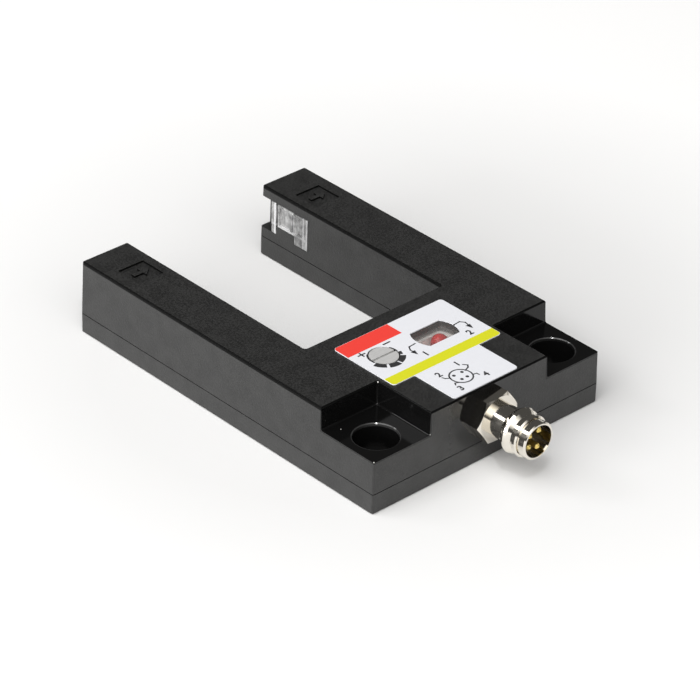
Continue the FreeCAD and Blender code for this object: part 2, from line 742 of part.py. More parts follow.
def post_places():
    """The four places where the circuit board stands on the lower housing."""
    x = slot_side + S.arm_width / 2
    return [(side * x, y) for side in (-1, 1) for y in (S.post_near, post_far)]


def pegs(sketch, diameter):
    for x, y in post_places():
        circle(sketch, x, y, diameter)
    return sketch


def make_label():
    body = new_body("label")
    right = pocket_side - S.label_edge
    left = -right
    west, east = S.tongue_x - S.tongue_width / 2, S.tongue_x + S.tongue_width / 2
    shape = outline(new_sketch(body, offset=S.body_height), [
        (west, S.tongue_rear),
        (east, S.tongue_rear),
        (east, S.label_rear),
        (right, S.label_rear),
        (right, S.label_front),
        (left, S.label_front),
        (left, S.label_rear),
        (west, S.label_rear),
    ])
    pad(body, shape, S.label_thick)
    dress(body, "Fillet", lambda edge: is_foil_corner(edge) and not is_foil_notch(edge, west, east),
          Radius=S.label_radius)
    dress(body, "Fillet", lambda edge: is_foil_corner(edge) and is_foil_notch(edge, west, east),
          Radius=S.label_fillet)
    above = S.body_height + S.label_thick
    pocket(body, flatted(new_sketch(body, offset=above), S.window_x, S.window_y,
                         S.window_diameter + 2 * S.label_gap, S.window_flats + 2 * S.label_gap),
           S.label_thick + PAST)
    pocket(body, circle(new_sketch(body, offset=above), S.trimmer_x, S.trimmer_y,
                        S.head_diameter + 2 * S.head_gap + 2 * S.label_gap),
           S.label_thick + PAST)


def is_foil_corner(edge):
    """An upright edge of the foil."""
    if len(edge.Vertexes) != 2:
        return False
    a, b = ends(edge)
    return near(abs(a.z - b.z), S.label_thick.number, 1e-6)


def is_foil_notch(edge, west, east):
    """One of the two inner corners, where the tongue meets the wide part."""
    point = ends(edge)[0]
    at_side = near(point.x, west.number, 1e-3) or near(point.x, east.number, 1e-3)
    return at_side and near(point.y, S.label_rear.number, 1e-3)


def make_indicator_window():
    """Clear cap with a flange under the roof, open below."""
    body = new_body("indicator_window")
    across = S.window_diameter - 2 * S.window_gap
    flats = S.window_flats - 2 * S.window_gap
    top = S.body_height + S.window_rise
    pad(body, flatted(new_sketch(body, offset=roof), S.window_x, S.window_y, across, flats),
        top - roof)
    pad(body, flatted(new_sketch(body, offset=roof), S.window_x, S.window_y,
                      across + 2 * S.flange_width, flats + 2 * S.flange_width),
        S.flange_thick, Reversed=True)
    inside = flatted(new_sketch(body, offset=top - S.window_roof), S.window_x, S.window_y,
                     across - 2 * S.window_wall, flats - 2 * S.window_wall)
    pocket(body, inside, top - roof + S.flange_thick)
    dress(body, "Chamfer", lambda edge: at_height(edge, top), Size=S.window_rise)


def make_light_holder():
    """Grey block that stands on the board, with a reflecting bowl round the two diodes."""
    body = new_body("light_holder")
    top = roof - S.flange_thick - S.holder_gap
    pad(body, rectangle(new_sketch(body, offset=board_top), S.window_x, S.window_y,
                        S.holder_length, S.holder_width), top - board_top)
    bowl = flatted(new_sketch(body, offset=top), S.window_x, S.window_y,
                   S.window_diameter - 2 * S.window_wall, S.window_flats - S.window_wall)
    pocket(body, bowl, S.bowl_depth)
    pocket(body, circle(new_sketch(body, offset=top), S.led_x, S.led_y,
                        S.led_diameter + 2 * S.holder_gap), top - board_top + PAST)
    pocket(body, rectangle(new_sketch(body, offset=top), S.power_led_x, S.led_y, S.well_side,
                           S.well_side), top - board_top + PAST)


def make_signal_led():
    """Round diode: body and dome are turned, and two leads go down through the board."""
    body = new_body("signal_led", x=S.led_x, y=S.led_y)
    radius = S.led_diameter / 2
    foot = led_top - S.led_length
    shoulder = led_top - radius
    corners = [(0, led_top), (0, foot), (radius, foot), (radius, shoulder)]
    spots = [Vector(Size.of(x).number, z.number, 0) for x, z in corners]
    bulge = Vector(0, shoulder.number, 0) + Vector(1, 1, 0).normalize() * radius.number
    sketch = new_sketch(body, "XZ")
    sketch.addGeometry([
        Part.LineSegment(spots[0], spots[1]),
        Part.LineSegment(spots[1], spots[2]),
        Part.LineSegment(spots[2], spots[3]),
        Part.Arc(spots[3], bulge, spots[0]),
    ])
    joins = [Sketcher.Constraint("Coincident", n, 2, (n + 1) % 4, 1) for n in range(4)]
    sized = [(("Radius", 3), radius)]
    for n, (x, z) in enumerate(corners):
        sized += place_of(n, 1, Size.of(x), z)
    constrain(sketch, joins, sized)
    revolve(body, sketch, axis="V_Axis")
    legs = new_sketch(body, offset=foot)
    for side in (-1, 1):
        rectangle(legs, side * S.led_pitch, 0, S.led_lead, S.led_lead)
    pad(body, legs, foot - S.board_height + S.tail_rise, Reversed=True)


def make_power_led():
    chip = doc.addObject("Part::Box", "power_led")
    chip.Label = "power_led"
    bind(chip, "Length", S.chip_length)
    bind(chip, "Width", S.chip_width)
    bind(chip, "Height", S.chip_height)
    bind(chip, "Placement.Base.x", S.power_led_x - S.chip_length / 2)
    bind(chip, "Placement.Base.y", S.led_y - S.chip_width / 2 - S.hole_setback)
    bind(chip, "Placement.Base.z", board_top)


snap_height = roof - S.guide_length - S.head_lift
pot_top = snap_height - S.collar_thick - S.stem_tail - S.holder_gap


def make_trimmer_body():
    """Square potentiometer with a round well for its turning disc."""
    body = new_body("trimmer_body", x=S.trimmer_x, y=S.trimmer_y)
    pad(body, rectangle(new_sketch(body, offset=board_top), 0, 0, S.pot_side, S.pot_side),
        pot_top - board_top)
    pocket(body, circle(new_sketch(body, offset=pot_top), 0, 0,
                        S.rotor_diameter + 2 * S.rotor_gap), S.rotor_thick + S.rotor_gap)


def make_trimmer_rotor():
    """Turning disc with a slot for the adjuster's blade."""
    body = new_body("trimmer_rotor", x=S.trimmer_x, y=S.trimmer_y)
    pad(body, circle(new_sketch(body, offset=pot_top), 0, 0, S.rotor_diameter), S.rotor_thick,
        Reversed=True)
    pocket(body, rectangle(new_sketch(body, offset=pot_top), 0, 0,
                           S.blade_width + 2 * S.holder_gap, S.blade_thick + 2 * S.holder_gap),
           S.blade_depth + S.holder_gap)


def make_adjuster():
    """Slotted head, stem with a groove for the seal, snap collar and blade."""
    body = new_body("adjuster", x=S.trimmer_x, y=S.trimmer_y)
    foot = pot_top + S.holder_gap
    seat = S.body_height - S.head_depth + S.head_lift
    top = S.body_height + S.head_rise
    stem = S.stem_diameter / 2
    neck = stem - S.seal_depth
    middle = roof - S.guide_length / 2
    revolve(body, outline(new_sketch(body, "XZ"), [
        (0, foot),
        (stem, foot),
        (stem, snap_height - S.collar_thick),
        (S.collar_diameter / 2, snap_height - S.collar_thick / 2),
        (S.collar_diameter / 2, snap_height),
        (stem, snap_height),
        (stem, middle - S.seal_width / 2),
        (neck, middle - S.seal_width / 2),
        (neck, middle + S.seal_width / 2),
        (stem, middle + S.seal_width / 2),
        (stem, seat),
        (S.head_diameter / 2, seat),
        (S.head_diameter / 2, top),
        (0, top),
    ]), axis="V_Axis")
    pocket(body, rectangle(new_sketch(body, offset=top), 0, 0, S.head_diameter + PAST,
                           S.head_slot_width), S.head_slot_depth)
    pad(body, rectangle(new_sketch(body, offset=foot), 0, 0, S.blade_width, S.blade_thick),
        S.holder_gap + S.blade_depth, Reversed=True)


def make_adjuster_seal():
    """Ring in the stem's groove."""
    body = new_body("adjuster_seal", x=S.trimmer_x, y=S.trimmer_y)
    neck = S.stem_diameter / 2 - S.seal_depth
    width = S.seal_width - S.seal_gap * 2
    revolve(body, rectangle(new_sketch(body, "XZ"), neck + S.seal_gap + S.seal_depth / 2,
                            roof - S.guide_length / 2, S.seal_depth, width), axis="V_Axis")


shell_bore = S.core_diameter / 2
mouth_foot = S.mouth_depth - S.plug_length
carrier_face = mouth_foot - S.carrier_flange
end_board_y = S.carrier_end


def make_connector_shell():
    """Turned from hexagon bar: shank, hexagon, neck, two rings and the front collar."""
    body = new_body("connector_shell", z=axis_height)
    shank, neck = S.shank_diameter / 2, S.neck_diameter / 2
    big, small = S.ring_diameter / 2, S.latch_diameter / 2
    dip, throat = S.groove_diameter / 2, S.throat_diameter / 2
    edge = big - S.ring_drop
    collar, mouth = S.collar_outer / 2, S.mouth_diameter / 2
    throat_start = S.latch_start + S.latch_length
    revolve(body, outline(new_sketch(body, "YZ"), [
        (S.shank_end, shell_bore),
        (S.shank_end, shank),
        (-S.hex_length / 2, shank),
        (-S.hex_length / 2, neck),
        (-S.ring_start, neck),
        (-S.ring_start - (edge - neck), edge),
        (-S.ring_start - (edge - neck) - S.ring_bevel, big),
        (-S.ring_start - S.ring_length + (edge - dip) + S.ring_bevel, big),
        (-S.ring_start - S.ring_length + (edge - dip), edge),
        (-S.ring_start - S.ring_length, dip),
        (-S.latch_start, dip),
        (-S.latch_start, small),
        (-throat_start, small),
        (-throat_start, throat),
        (-throat_start - S.throat_length, throat),
        (-throat_start - S.throat_length, collar),
        (-S.plug_length, collar),
        (-S.plug_length, mouth),
        (mouth_foot, mouth),
        (mouth_foot, shell_bore),
    ]))
    dress(body, "Chamfer", lambda ring: is_ring(ring, small), Size=S.latch_bevel)
    dress(body, "Chamfer", lambda ring: is_ring(ring, collar) and near(
        ring.CenterOfMass.y, -S.plug_length.number, 0.01), Size=S.rim_chamfer)
    nut = hexagon(new_sketch(body, "XZ", offset=-seat_y), Size.of(0), hex_across / 2)
    circle(nut, 0, 0, S.core_diameter)
    pad(body, nut, S.hex_length + seat_y)
    flat = hex_flats / 2
    groove(body, outline(new_sketch(body, "YZ"), [
        (-S.hex_length, flat),
        (-S.hex_length, flat + PAST),
        (-S.hex_length + PAST * tangent(S.hex_bevel), flat + PAST),
    ]))
    key = rectangle(new_sketch(body, "XZ", offset=-carrier_face + S.carrier_gap, turn=S.key_angle),
                    mouth + S.key_root - S.key_height / 2, 0, S.key_height, S.key_width)
    pad(body, key, S.mouth_depth - S.carrier_flange - S.carrier_gap - S.key_setback)


def is_ring(edge, radius):
    """A whole circle round the plug's axis."""
    curve = edge.Curve
    return curve.TypeId == "Part::GeomCircle" and near(curve.Radius, radius.number, 1e-4)


def make_connector_insert():
    """Contact carrier: head at the foot of the mouth, and barrel."""
    body = new_body("connector_insert", z=axis_height)
    gap = S.carrier_gap
    revolve(body, outline(new_sketch(body, "YZ"), [
        (S.carrier_end, 0),
        (S.carrier_end, shell_bore - gap),
        (mouth_foot, shell_bore - gap),
        (mouth_foot, S.mouth_diameter / 2 - gap),
        (carrier_face, S.mouth_diameter / 2 - gap),
        (carrier_face, 0),
    ]))
    ways = new_sketch(body, "XZ", offset=-S.carrier_end, turn=S.pin_tilt)
    for angle in pin_angles:
        circle(ways, S.pin_circle / 2 * cosine(angle), S.pin_circle / 2 * sine(angle),
               S.pin_diameter + 2 * gap)
    pocket(body, ways, S.plug_length + S.carrier_end, Reversed=True)


pin_angles = (S.pin_near, S.pin_far, -S.pin_far, -S.pin_near)


def make_contact_pins():
    for number, angle in enumerate(pin_angles, start=1):
        turn = angle + S.pin_tilt
        body = new_body(f"contact_pin_{number}", x=S.pin_circle / 2 * cosine(turn),
                        z=axis_height + S.pin_circle / 2 * sine(turn))
        tip = S.pin_setback - S.plug_length
        tail = end_board_y + S.board_thick
        revolve(body, outline(new_sketch(body, "YZ"), [
            (tip, 0),
            (tip, S.pin_diameter / 2),
            (end_board_y, S.pin_diameter / 2),
            (end_board_y, S.pin_tail / 2),
            (tail, S.pin_tail / 2),
            (tail, 0),
        ]))
        dress(body, "Chamfer", lambda edge: near(edge.CenterOfMass.y, tip.number, 1e-3),
              Size=S.pin_bevel)


def make_connector_seal():
    body = new_body("connector_seal", z=axis_height)
    middle = S.shank_diameter / 2 + S.seal_gap + S.seal_ring / 2
    revolve(body, rectangle(new_sketch(body, "YZ"), seat_y + S.seal_thick / 2, middle,
                            S.seal_thick, S.seal_ring))


def make_connector_nut():
    """Round nut inside the rear wall, with two slots for its driver."""
    body = new_body("connector_nut", z=axis_height)
    bore = S.shank_diameter / 2 + S.seal_gap
    thick = S.nut_diameter / 2 - bore
    revolve(body, rectangle(new_sketch(body, "YZ"), S.rear_wall + S.nut_length / 2,
                            bore + thick / 2, S.nut_length, thick))
    slot = rectangle(new_sketch(body, "XZ", offset=-S.rear_wall - S.nut_length), 0, 0,
                     S.nut_diameter + PAST, S.nut_slot)
    pocket(body, slot, S.nut_slot_depth, Reversed=True)


def make_connector_board():
    """Small upright board that takes the tails of the four pins."""
    body = new_body("connector_board", y=end_board_y)
    tall = roof - S.end_board_gap - S.end_board_bottom
    pad(body, rectangle(new_sketch(body, "XZ"), 0, S.end_board_bottom + tall / 2,
                        S.end_board_width, tall), S.board_thick, Reversed=True)
    ways = new_sketch(body, "XZ")
    for angle in pin_angles:
        turn = angle + S.pin_tilt
        circle(ways, S.pin_circle / 2 * cosine(turn),
               axis_height + S.pin_circle / 2 * sine(turn), S.pin_tail + 2 * S.lead_gap)
    pocket(body, ways, S.board_thick + PAST)


def make_circuit_board():
    """U-shaped board on the posts, with holes for pegs and leads."""
    body = new_body("circuit_board")
    inset = S.wall + S.board_gap
    rear = end_board_y + S.board_thick
    shape = new_sketch(body, offset=S.board_height)
    outline(shape, fork(inset, rear, pocket_side - inset))
    pegs(shape, S.peg_diameter + 2 * S.peg_gap)
    pad(body, shape, S.board_thick)
    ways = new_sketch(body, offset=board_top)
    lead = S.led_lead + 2 * S.lead_gap
    for side in (-1, 1):
        rectangle(ways, S.led_x + side * S.led_pitch, S.led_y, lead, lead)
        for step in (-1, 1):
            rectangle(ways, side * package_middle, optic_y + step * S.led_pitch, lead, lead)
    pocket(body, ways, S.board_thick + PAST)


lens_back = slot_side + S.notch_depth - S.lens_gap
inner_face = slot_side + S.notch_depth + S.notch_wall
package_face = inner_face + S.package_setback
package_middle = package_face + S.package_thick / 2
package_top = roof - S.hood_gap - S.hood_wall - S.package_gap


def mirrored(label, source):
    """The same piece on the other arm."""
    copy = doc.addObject("Part::Mirroring", label)
    copy.Label = label
    copy.Source = doc.getObject(source)
    copy.Normal = Vector(1, 0, 0)
    copy.Base = Vector(0, 0, 0)


def make_lenses():
    """Clear block in the notch: columns, a framed window over the sill, a core and a dome."""
    body = new_body("receiver_lens")
    start = notch_start + S.lens_gap
    end = start + S.lens_length
    low, high = S.notch_bottom + S.lens_gap, notch_top - S.lens_gap
    step = sill_top + S.lens_gap
    face = slot_side + S.lens_gap
    pad(body, outline(new_sketch(body, "YZ", offset=face), [
        (start, low),
        (sill_start - S.lens_gap, low),
        (sill_start - S.lens_gap, step),
        (sill_end + S.lens_gap, step),
        (sill_end + S.lens_gap, low),
        (end, low),
        (end, high),
        (start, high),
    ]), lens_back - face)
    core = rectangle(new_sketch(body, "YZ", offset=lens_back), optic_y, optic_height,
                     S.aperture_length - 2 * S.lens_gap, core_height)
    pad(body, core, inner_face - lens_back)
    groove_end = end - S.lens_column
    cut = rectangle(new_sketch(body, "YZ", offset=face), groove_end - S.lens_groove / 2,
                    (step + high) / 2, S.lens_groove, high - step + PAST)
    pocket(body, cut, S.lens_cut, Reversed=True)
    view_start, view_end = start + S.lens_jamb, groove_end - S.lens_groove - S.lens_frame
    middle = (view_start + view_end) / 2
    pane = middle - S.lens_rib / 2 - view_start
    panes = new_sketch(body, "YZ", offset=face)
    for side in (-1, 1):
        rectangle(panes, middle + side * (S.lens_rib + pane) / 2, (step + high) / 2, pane,
                  high - step - 2 * S.lens_frame)
    pocket(body, panes, S.lens_recess, Reversed=True)
    dress(body, "Fillet", lambda edge: upright(edge) and near(ends(edge)[0].y, end.number, 0.01)
          and near(ends(edge)[0].x, face.number, 0.01), Radius=S.lens_round)
    dome(body, inner_face, 1, dome_diameter, S.dome_height)
    mirrored("emitter_lens", "receiver_lens")


def dome(body, face, way, diameter, rise):
    """Ball cap on an upright face, about the beam's axis; way is 1 towards +X, -1 towards -X."""
    half = diameter / 2
    radius = (half * half + rise * rise) / (rise * 2)
    foot, tip = (face, optic_y), (face + way * rise, optic_y)
    rim = (face, optic_y + way * half)
    sketch = new_sketch(body, offset=optic_height)
    spots = [Vector(x.number, y.number, 0) for x, y in (foot, tip, rim)]
    centre = spots[1] - Vector(way * radius.number, 0, 0)
    middle = (spots[1] + spots[2]) / 2 - centre
    bulge = centre + middle.normalize() * radius.number
    sketch.addGeometry([
        Part.LineSegment(spots[0], spots[1]),
        Part.Arc(spots[1], bulge, spots[2]),
        Part.LineSegment(spots[2], spots[0]),
    ])
    joins = [Sketcher.Constraint("Coincident", n, 2, (n + 1) % 3, 1) for n in range(3)]
    sized = place_of(0, 1, *foot) + place_of(0, 2, *tip) + place_of(2, 1, *rim)
    constrain(sketch, joins, sized + [(("Radius", 1), radius)])
    return make(body, "Revolution", sketch, True, ReferenceAxis=(sketch, ["Edge1"]), Angle=360.0)


def make_packages():
    """Side-looking component on the board: block with a bead, and two leads through the board."""
    body = new_body("receiver")
    block = rectangle(new_sketch(body, offset=board_top), package_middle, optic_y,
                      S.package_thick, S.package_length)
    pad(body, block, package_top - board_top)
    legs = new_sketch(body, offset=board_top)
    for step in (-1, 1):
        rectangle(legs, package_middle, optic_y + step * S.led_pitch, S.led_lead, S.led_lead)
    pad(body, legs, S.board_thick + S.tail_rise, Reversed=True)
    dome(body, package_face, -1, dome_diameter - S.bead_step, S.bead_height)
    mirrored("emitter", "receiver")


def make_hoods():
    """Open-bottomed block over each package, with a round mouth for the lens's dome."""
    body = new_body("receiver_holder")
    room = S.package_thick + 2 * S.package_gap
    along = S.package_length + 2 * S.package_gap
    tall = package_top + S.package_gap - board_top
    pad(body, rectangle(new_sketch(body, offset=board_top), package_middle, optic_y,
                        room + 2 * S.hood_wall, along + 2 * S.hood_wall), tall + S.hood_wall)
    pocket(body, rectangle(new_sketch(body, offset=board_top), package_middle, optic_y,
                           room, along), tall, Reversed=True)
    mouth = circle(new_sketch(body, "YZ", offset=package_middle), optic_y, optic_height,
                   dome_diameter + 2 * S.package_gap)
    pocket(body, mouth, package_middle)
    mirrored("emitter_holder", "receiver_holder")


def make_box(label, x, y, size_x, size_y, size_z, base=board_top):
    """Block on the board, about a centre."""
    box = doc.addObject("Part::Box", label)
    box.Label = label
    bind(box, "Length", size_x)
    bind(box, "Width", size_y)
    bind(box, "Height", size_z)
    bind(box, "Placement.Base.x", x - Size.of(size_x) / 2)
    bind(box, "Placement.Base.y", y - Size.of(size_y) / 2 - S.hole_setback)
    bind(box, "Placement.Base.z", base)
    return box


def make_chip(label, x, leads, body_length):
    """Moulded circuit across the board, with a row of flat leads on each side."""
    body = new_body(label, x=x, y=S.window_y)
    block = rectangle(new_sketch(body, offset=board_top + S.circuit_foot), 0, 0,
                      S.circuit_width, body_length)
    pad(body, block, S.circuit_height)
    dress(body, "Chamfer", lambda edge: at_height(
        edge, board_top + S.circuit_foot + S.circuit_height), Size=S.circuit_foot)
    legs = new_sketch(body, offset=board_top)
    for n in range(leads):
        rectangle(legs, 0, (n - (leads - 1) / 2) * S.led_pitch,
                  S.circuit_width + 2 * S.circuit_lead, S.led_lead)
    pad(body, legs, S.circuit_foot * 2)


def make_group(label, size_x, size_y, size_z, places):
    """Like small components, as one group of separate blocks."""
    group = doc.addObject("Part::Compound", label)
    group.Label = label
    group.Links = [
        make_box(f"{label}_{n}", x, y, size_x, size_y, size_z)
        for n, (x, y) in enumerate(places, start=1)
    ]


SIGNAL_LEADS, REGULATOR_LEADS = 4, 3
RESISTOR_ROWS = 4
RESISTOR_SPACES = 6  # spaces between the saddle and the far posts


def make_circuit():
    arm = slot_side + S.arm_width / 2
    saddle = S.bridge_depth - S.wall - S.board_gap
    make_chip("signal_chip", -S.circuit_x, SIGNAL_LEADS, S.signal_length)
    make_chip("voltage_regulator", S.circuit_x, REGULATOR_LEADS, S.regulator_length)
    span = post_far - saddle
    make_group("resistors", S.passive_width, S.passive_length, S.resistor_height, [
        (side * arm + lane * S.lane_pitch / 2, saddle + span * step / RESISTOR_SPACES)
        for side in (-1, 1) for step in range(1, RESISTOR_ROWS + 1) for lane in (-1, 1)
    ])
    make_group("capacitors", S.passive_length, S.passive_width, S.capacitor_height, [
        (side * x, saddle - S.passive_length)
        for side in (-1, 1) for x in (S.circuit_x - S.pair_pitch / 2, S.circuit_x + S.pair_pitch / 2)
    ])


NODES = (
    "upper_housing",
    "lower_housing",
    "label",
    "indicator_window",
    "light_holder",
    "signal_led",
    "power_led",
    "adjuster",
    "adjuster_seal",
    "trimmer_rotor",
    "trimmer_body",
    "connector_shell",
    "connector_insert",
    "contact_pin_1",
    "contact_pin_2",
    "contact_pin_3",
    "contact_pin_4",
    "connector_seal",
    "connector_nut",
    "connector_board",
    "circuit_board",
    "emitter_lens",
    "receiver_lens",
    "emitter",
    "receiver",
    "emitter_holder",
    "receiver_holder",
    "signal_chip",
    "voltage_regulator",
    "resistors",
    "capacitors",
)


def export():
    """Check every object, then write each piece to its own file."""
    doc.recompute()
    for item in doc.Objects:
        if "Invalid" in item.State or "Error" in item.State:
            raise RuntimeError(f"{item.Name}: {item.State}")
    os.makedirs("parts", exist_ok=True)
    for name in NODES:
        shape = doc.getObject(name).Shape
        if shape.isNull() or not shape.isValid():
            raise RuntimeError(f"{name}: no valid shape")
        shape.exportStep(f"parts/{name}.step")


make_upper_housing()
make_lower_housing()
make_label()
make_indicator_window()
make_light_holder()
make_signal_led()
make_power_led()
make_adjuster()
make_adjuster_seal()
make_trimmer_rotor()
make_trimmer_body()
make_connector_shell()
make_connector_insert()
make_contact_pins()
make_connector_seal()
make_connector_nut()
make_connector_board()
make_circuit_board()
make_lenses()
make_packages()
make_hoods()
make_circuit()
export()
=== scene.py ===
import math
import random

import bmesh
import bpy
from mathutils import Euler, Matrix, Vector


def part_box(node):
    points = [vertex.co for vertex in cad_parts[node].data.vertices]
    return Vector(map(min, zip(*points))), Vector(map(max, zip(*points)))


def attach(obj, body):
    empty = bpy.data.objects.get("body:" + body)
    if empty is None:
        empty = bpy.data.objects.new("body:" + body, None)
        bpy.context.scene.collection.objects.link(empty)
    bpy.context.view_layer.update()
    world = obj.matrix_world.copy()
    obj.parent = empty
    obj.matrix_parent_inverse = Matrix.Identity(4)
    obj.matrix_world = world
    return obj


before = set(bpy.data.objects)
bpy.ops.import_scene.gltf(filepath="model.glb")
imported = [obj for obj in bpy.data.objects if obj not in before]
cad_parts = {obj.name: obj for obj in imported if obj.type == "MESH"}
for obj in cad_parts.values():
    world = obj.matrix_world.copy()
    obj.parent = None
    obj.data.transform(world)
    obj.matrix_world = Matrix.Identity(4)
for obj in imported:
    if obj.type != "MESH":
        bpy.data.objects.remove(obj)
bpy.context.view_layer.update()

MM = 0.001
REAR = 5.5 * MM  # the rear face lies this far behind the origin
LABEL_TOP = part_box("label")[1].z

# Camera, fitted to the photograph: place in mm, angles in degrees, lens and sensor in mm
CAMERA_PLACE = (-340.76, -331.64, 313.79)
CAMERA_YAW = -43.526
CAMERA_PITCH = -31.988
CAMERA_ROLL = 1.585
CAMERA_LENS = 181.34
CAMERA_SENSOR = 36.0
CAMERA_RANGE = (0.01, 20.0)  # nearest and farthest that it sees, in metres

# Colours, linear
BLACK_PLASTIC = (0.0195, 0.0195, 0.0192)
# near black of the polished pockets, also used for painted shade on the edges and a painted
# reflection round the plug
POLISHED_BLACK_AND_PAINTED_SHADE = (0.004, 0.004, 0.004)
# paler grey of the counterbores' rims, a painted highlight
RIM_PAINTED_HIGHLIGHT = (0.035, 0.035, 0.035)
LABEL_WHITE = (0.80, 0.81, 0.85)
PRINT_RED = (0.90, 0.055, 0.04)
PRINT_YELLOW = (0.72, 0.73, 0.015)
PRINT_BLACK = (0.03, 0.03, 0.032)
NICKEL = (0.84, 0.80, 0.72)
GOLD = (0.80, 0.62, 0.20)
CLEAR_TINT = (0.75, 0.72, 0.7)
# lens: painted shade of the far pane, and the colour of its painted highlights
LENS_PAINTED_SHADE = (0.02, 0.02, 0.022)
LENS_PAINTED_HIGHLIGHT = (0.93, 0.93, 0.95)
ADJUSTER_DARK = (0.44, 0.44, 0.44)
ADJUSTER_LIGHT = (0.68, 0.68, 0.67)

# Regions of the housing that its finish follows, in mm from the origin. Side is measured from the
# middle to either side, along is Y.
POCKET_SIDE = (12.75, 25.08)
POCKET_ALONG = (-5.4, 7.12)
POCKET_FLOOR = 9.35
HOLE_SIDE = (15.0, 24.2)
HOLE_ALONG = (-4.6, 4.6)
HOLE_HEIGHT = (0.05, 9.7)
SCREW_SIDE = 19.65
RIM_REACH = (3.78, 3.96)  # from the screw's axis; the rim is painted paler grey, a painted highlight
RIM_HEIGHT = (9.1, 9.8)
PLUG_SEAT_WEST = -8.2  # the rear wall is polished round the plug, and painted near black there as a painted reflection of the nut
PLUG_SEAT_EAST = 5.2
PLUG_SEAT_FRONT = -5.1
PLUG_SEAT_FOOT = 3.6
SEAM_HEIGHT = (3.5, 4.0)
# rounded edges above this are painted near black, as painted shade
UPPER_EDGES = 13.35
BROW_FOOT = 13.2  # the walls that face -X are painted dark from here up, as painted shade
# the walls of the sunk marks are painted dark, as painted shade
MARK_SIDE = 19.8
MARK_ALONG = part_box("upper_housing")[1].y / MM - 9.3
MARK_REACH = 2.9
MARK_FLOOR = 13.2

# How far a face of the housing leans: the upward share of its normal
UPRIGHT = 0.09  # the drafted walls stay below this
LEVEL = 0.975  # the level faces are above this
MARK_LEAN = 0.6  # the walls of the sunk marks stay below this
WALL_LEAN = 0.5
FACES_WEST = -0.5  # a wall faces -X where its normal's X is below this

# Black moulding: pairs go from the hollows to the ridges of its grain
GRAIN_SCALE = 2.6
CLOUD_SCALE = 0.35
GRAIN_SHARE = 0.55  # of the mottle; the rest is cloud
GRAIN_SHADE = (0.6, 1.45)
GRAIN_ROUGHNESS = (0.31, 0.46)
GRAIN_GLOSS = (0.66, 0.36)
SEAT_ROUGHNESS = 0.08
SEAT_GLOSS = 0.6
POLISHED_ROUGHNESS = 0.1
POLISHED_GLOSS = 0.3
RIM_ROUGHNESS = 0.14
# little gloss on the edges that are painted dark as painted shade
EDGE_GLOSS = 0.06
BASE_PAINTED_LIGHT = 1.08  # the lower housing is painted a little paler, painted light where it gets less light
TURNING_PITCH = 0.09  # of the marks on the turned metal, in mm
WAVE_PERIOD = 0.314  # of Blender's wave texture at a scale of 1

# Lens, in mm: Y from the origin, Z from the base
LENS_STREAK_STRETCH = (0.6, 0.75, 0.6)
LENS_LIT_FROM = 57.9  # the pane nearer the tip is painted brighter; the far pane is in painted shade
LENS_PANE_PAINTED_SHADE = (0.3, 0.0)  # far pane, near pane
# the sill is a band of painted highlight
LENS_SILL = (7.3, 7.7)
LENS_SILL_HIGHLIGHT = (0.15, 0.5)  # under the far pane, under the near pane
LENS_HIGHLIGHT_STRIPS = (  # from, to and strength of the bright upright strips, painted highlights
    (54.45, 54.8, 0.4),
    (55.35, 55.7, 0.35),
    (58.1, 58.4, 0.3),
    (62.6, 63.0, 1.0),
)


def spot(x, y, z):
    """A place given in mm, with Y from the rear face."""
    return Vector((x * MM, y * MM - REAR, z * MM))


# Node helpers
def new_material(name):
    material = bpy.data.materials.new(name)
    material.use_nodes = True
    tree = material.node_tree
    shader = tree.nodes["Principled BSDF"]
    return material, tree, shader


def node(tree, kind, **settings):
    made = tree.nodes.new(f"ShaderNode{kind}")
    for name, value in settings.items():
        setattr(made, name, value)
    return made


def feed(tree, value, socket):
    """Link a socket, or set a number or colour, on an input."""
    if isinstance(value, bpy.types.NodeSocket):
        tree.links.new(value, socket)
    else:
        socket.default_value = value


def opaque(colour):
    """Four channels from three or from one grey. A socket stays as it is."""
    if isinstance(colour, tuple):
        return (*colour, 1.0)
    if isinstance(colour, float):
        return (colour, colour, colour, 1.0)
    return colour


def shaded(colour, factor):
    return tuple(channel * factor for channel in colour)


def math_node(tree, operation, a, b=0.0, clamp=False):
    made = node(tree, "Math", operation=operation, use_clamp=clamp)
    feed(tree, a, made.inputs[0])
    feed(tree, b, made.inputs[1])
    return made.outputs[0]


def vector_node(tree, operation, vector, other=None):
    made = node(tree, "VectorMath", operation=operation)
    feed(tree, vector, made.inputs[0])
    if other is not None:
        feed(tree, other, made.inputs[1])
    return made.outputs


def place_in_mm(tree):
    """Place on the object, in mm."""
    coords = node(tree, "TexCoord").outputs["Object"]
    return vector_node(tree, "MULTIPLY", coords, (1 / MM, 1 / MM, 1 / MM))["Vector"]


def split(tree, vector):
    """X, Y and Z of a vector, as three sockets."""
    parts = node(tree, "SeparateXYZ")
    tree.links.new(vector, parts.inputs[0])
    return parts.outputs


def noise(tree, vector, scale, detail=2.0, roughness=0.5):
    made = node(tree, "TexNoise")
    tree.links.new(vector, made.inputs["Vector"])
    made.inputs["Scale"].default_value = scale
    made.inputs["Detail"].default_value = detail
    made.inputs["Roughness"].default_value = roughness
    return made.outputs["Fac"]


def ramp(tree, value, stops):
    """Colour ramp through (place, grey or colour) stops."""
    made = node(tree, "ValToRGB")
    elements = made.color_ramp.elements
    while len(elements) < len(stops):
        elements.new(0.5)
    for element, (place, colour) in zip(elements, stops):
        element.position = place
        element.color = opaque(colour)
    feed(tree, value, made.inputs[0])
    return made.outputs[0]


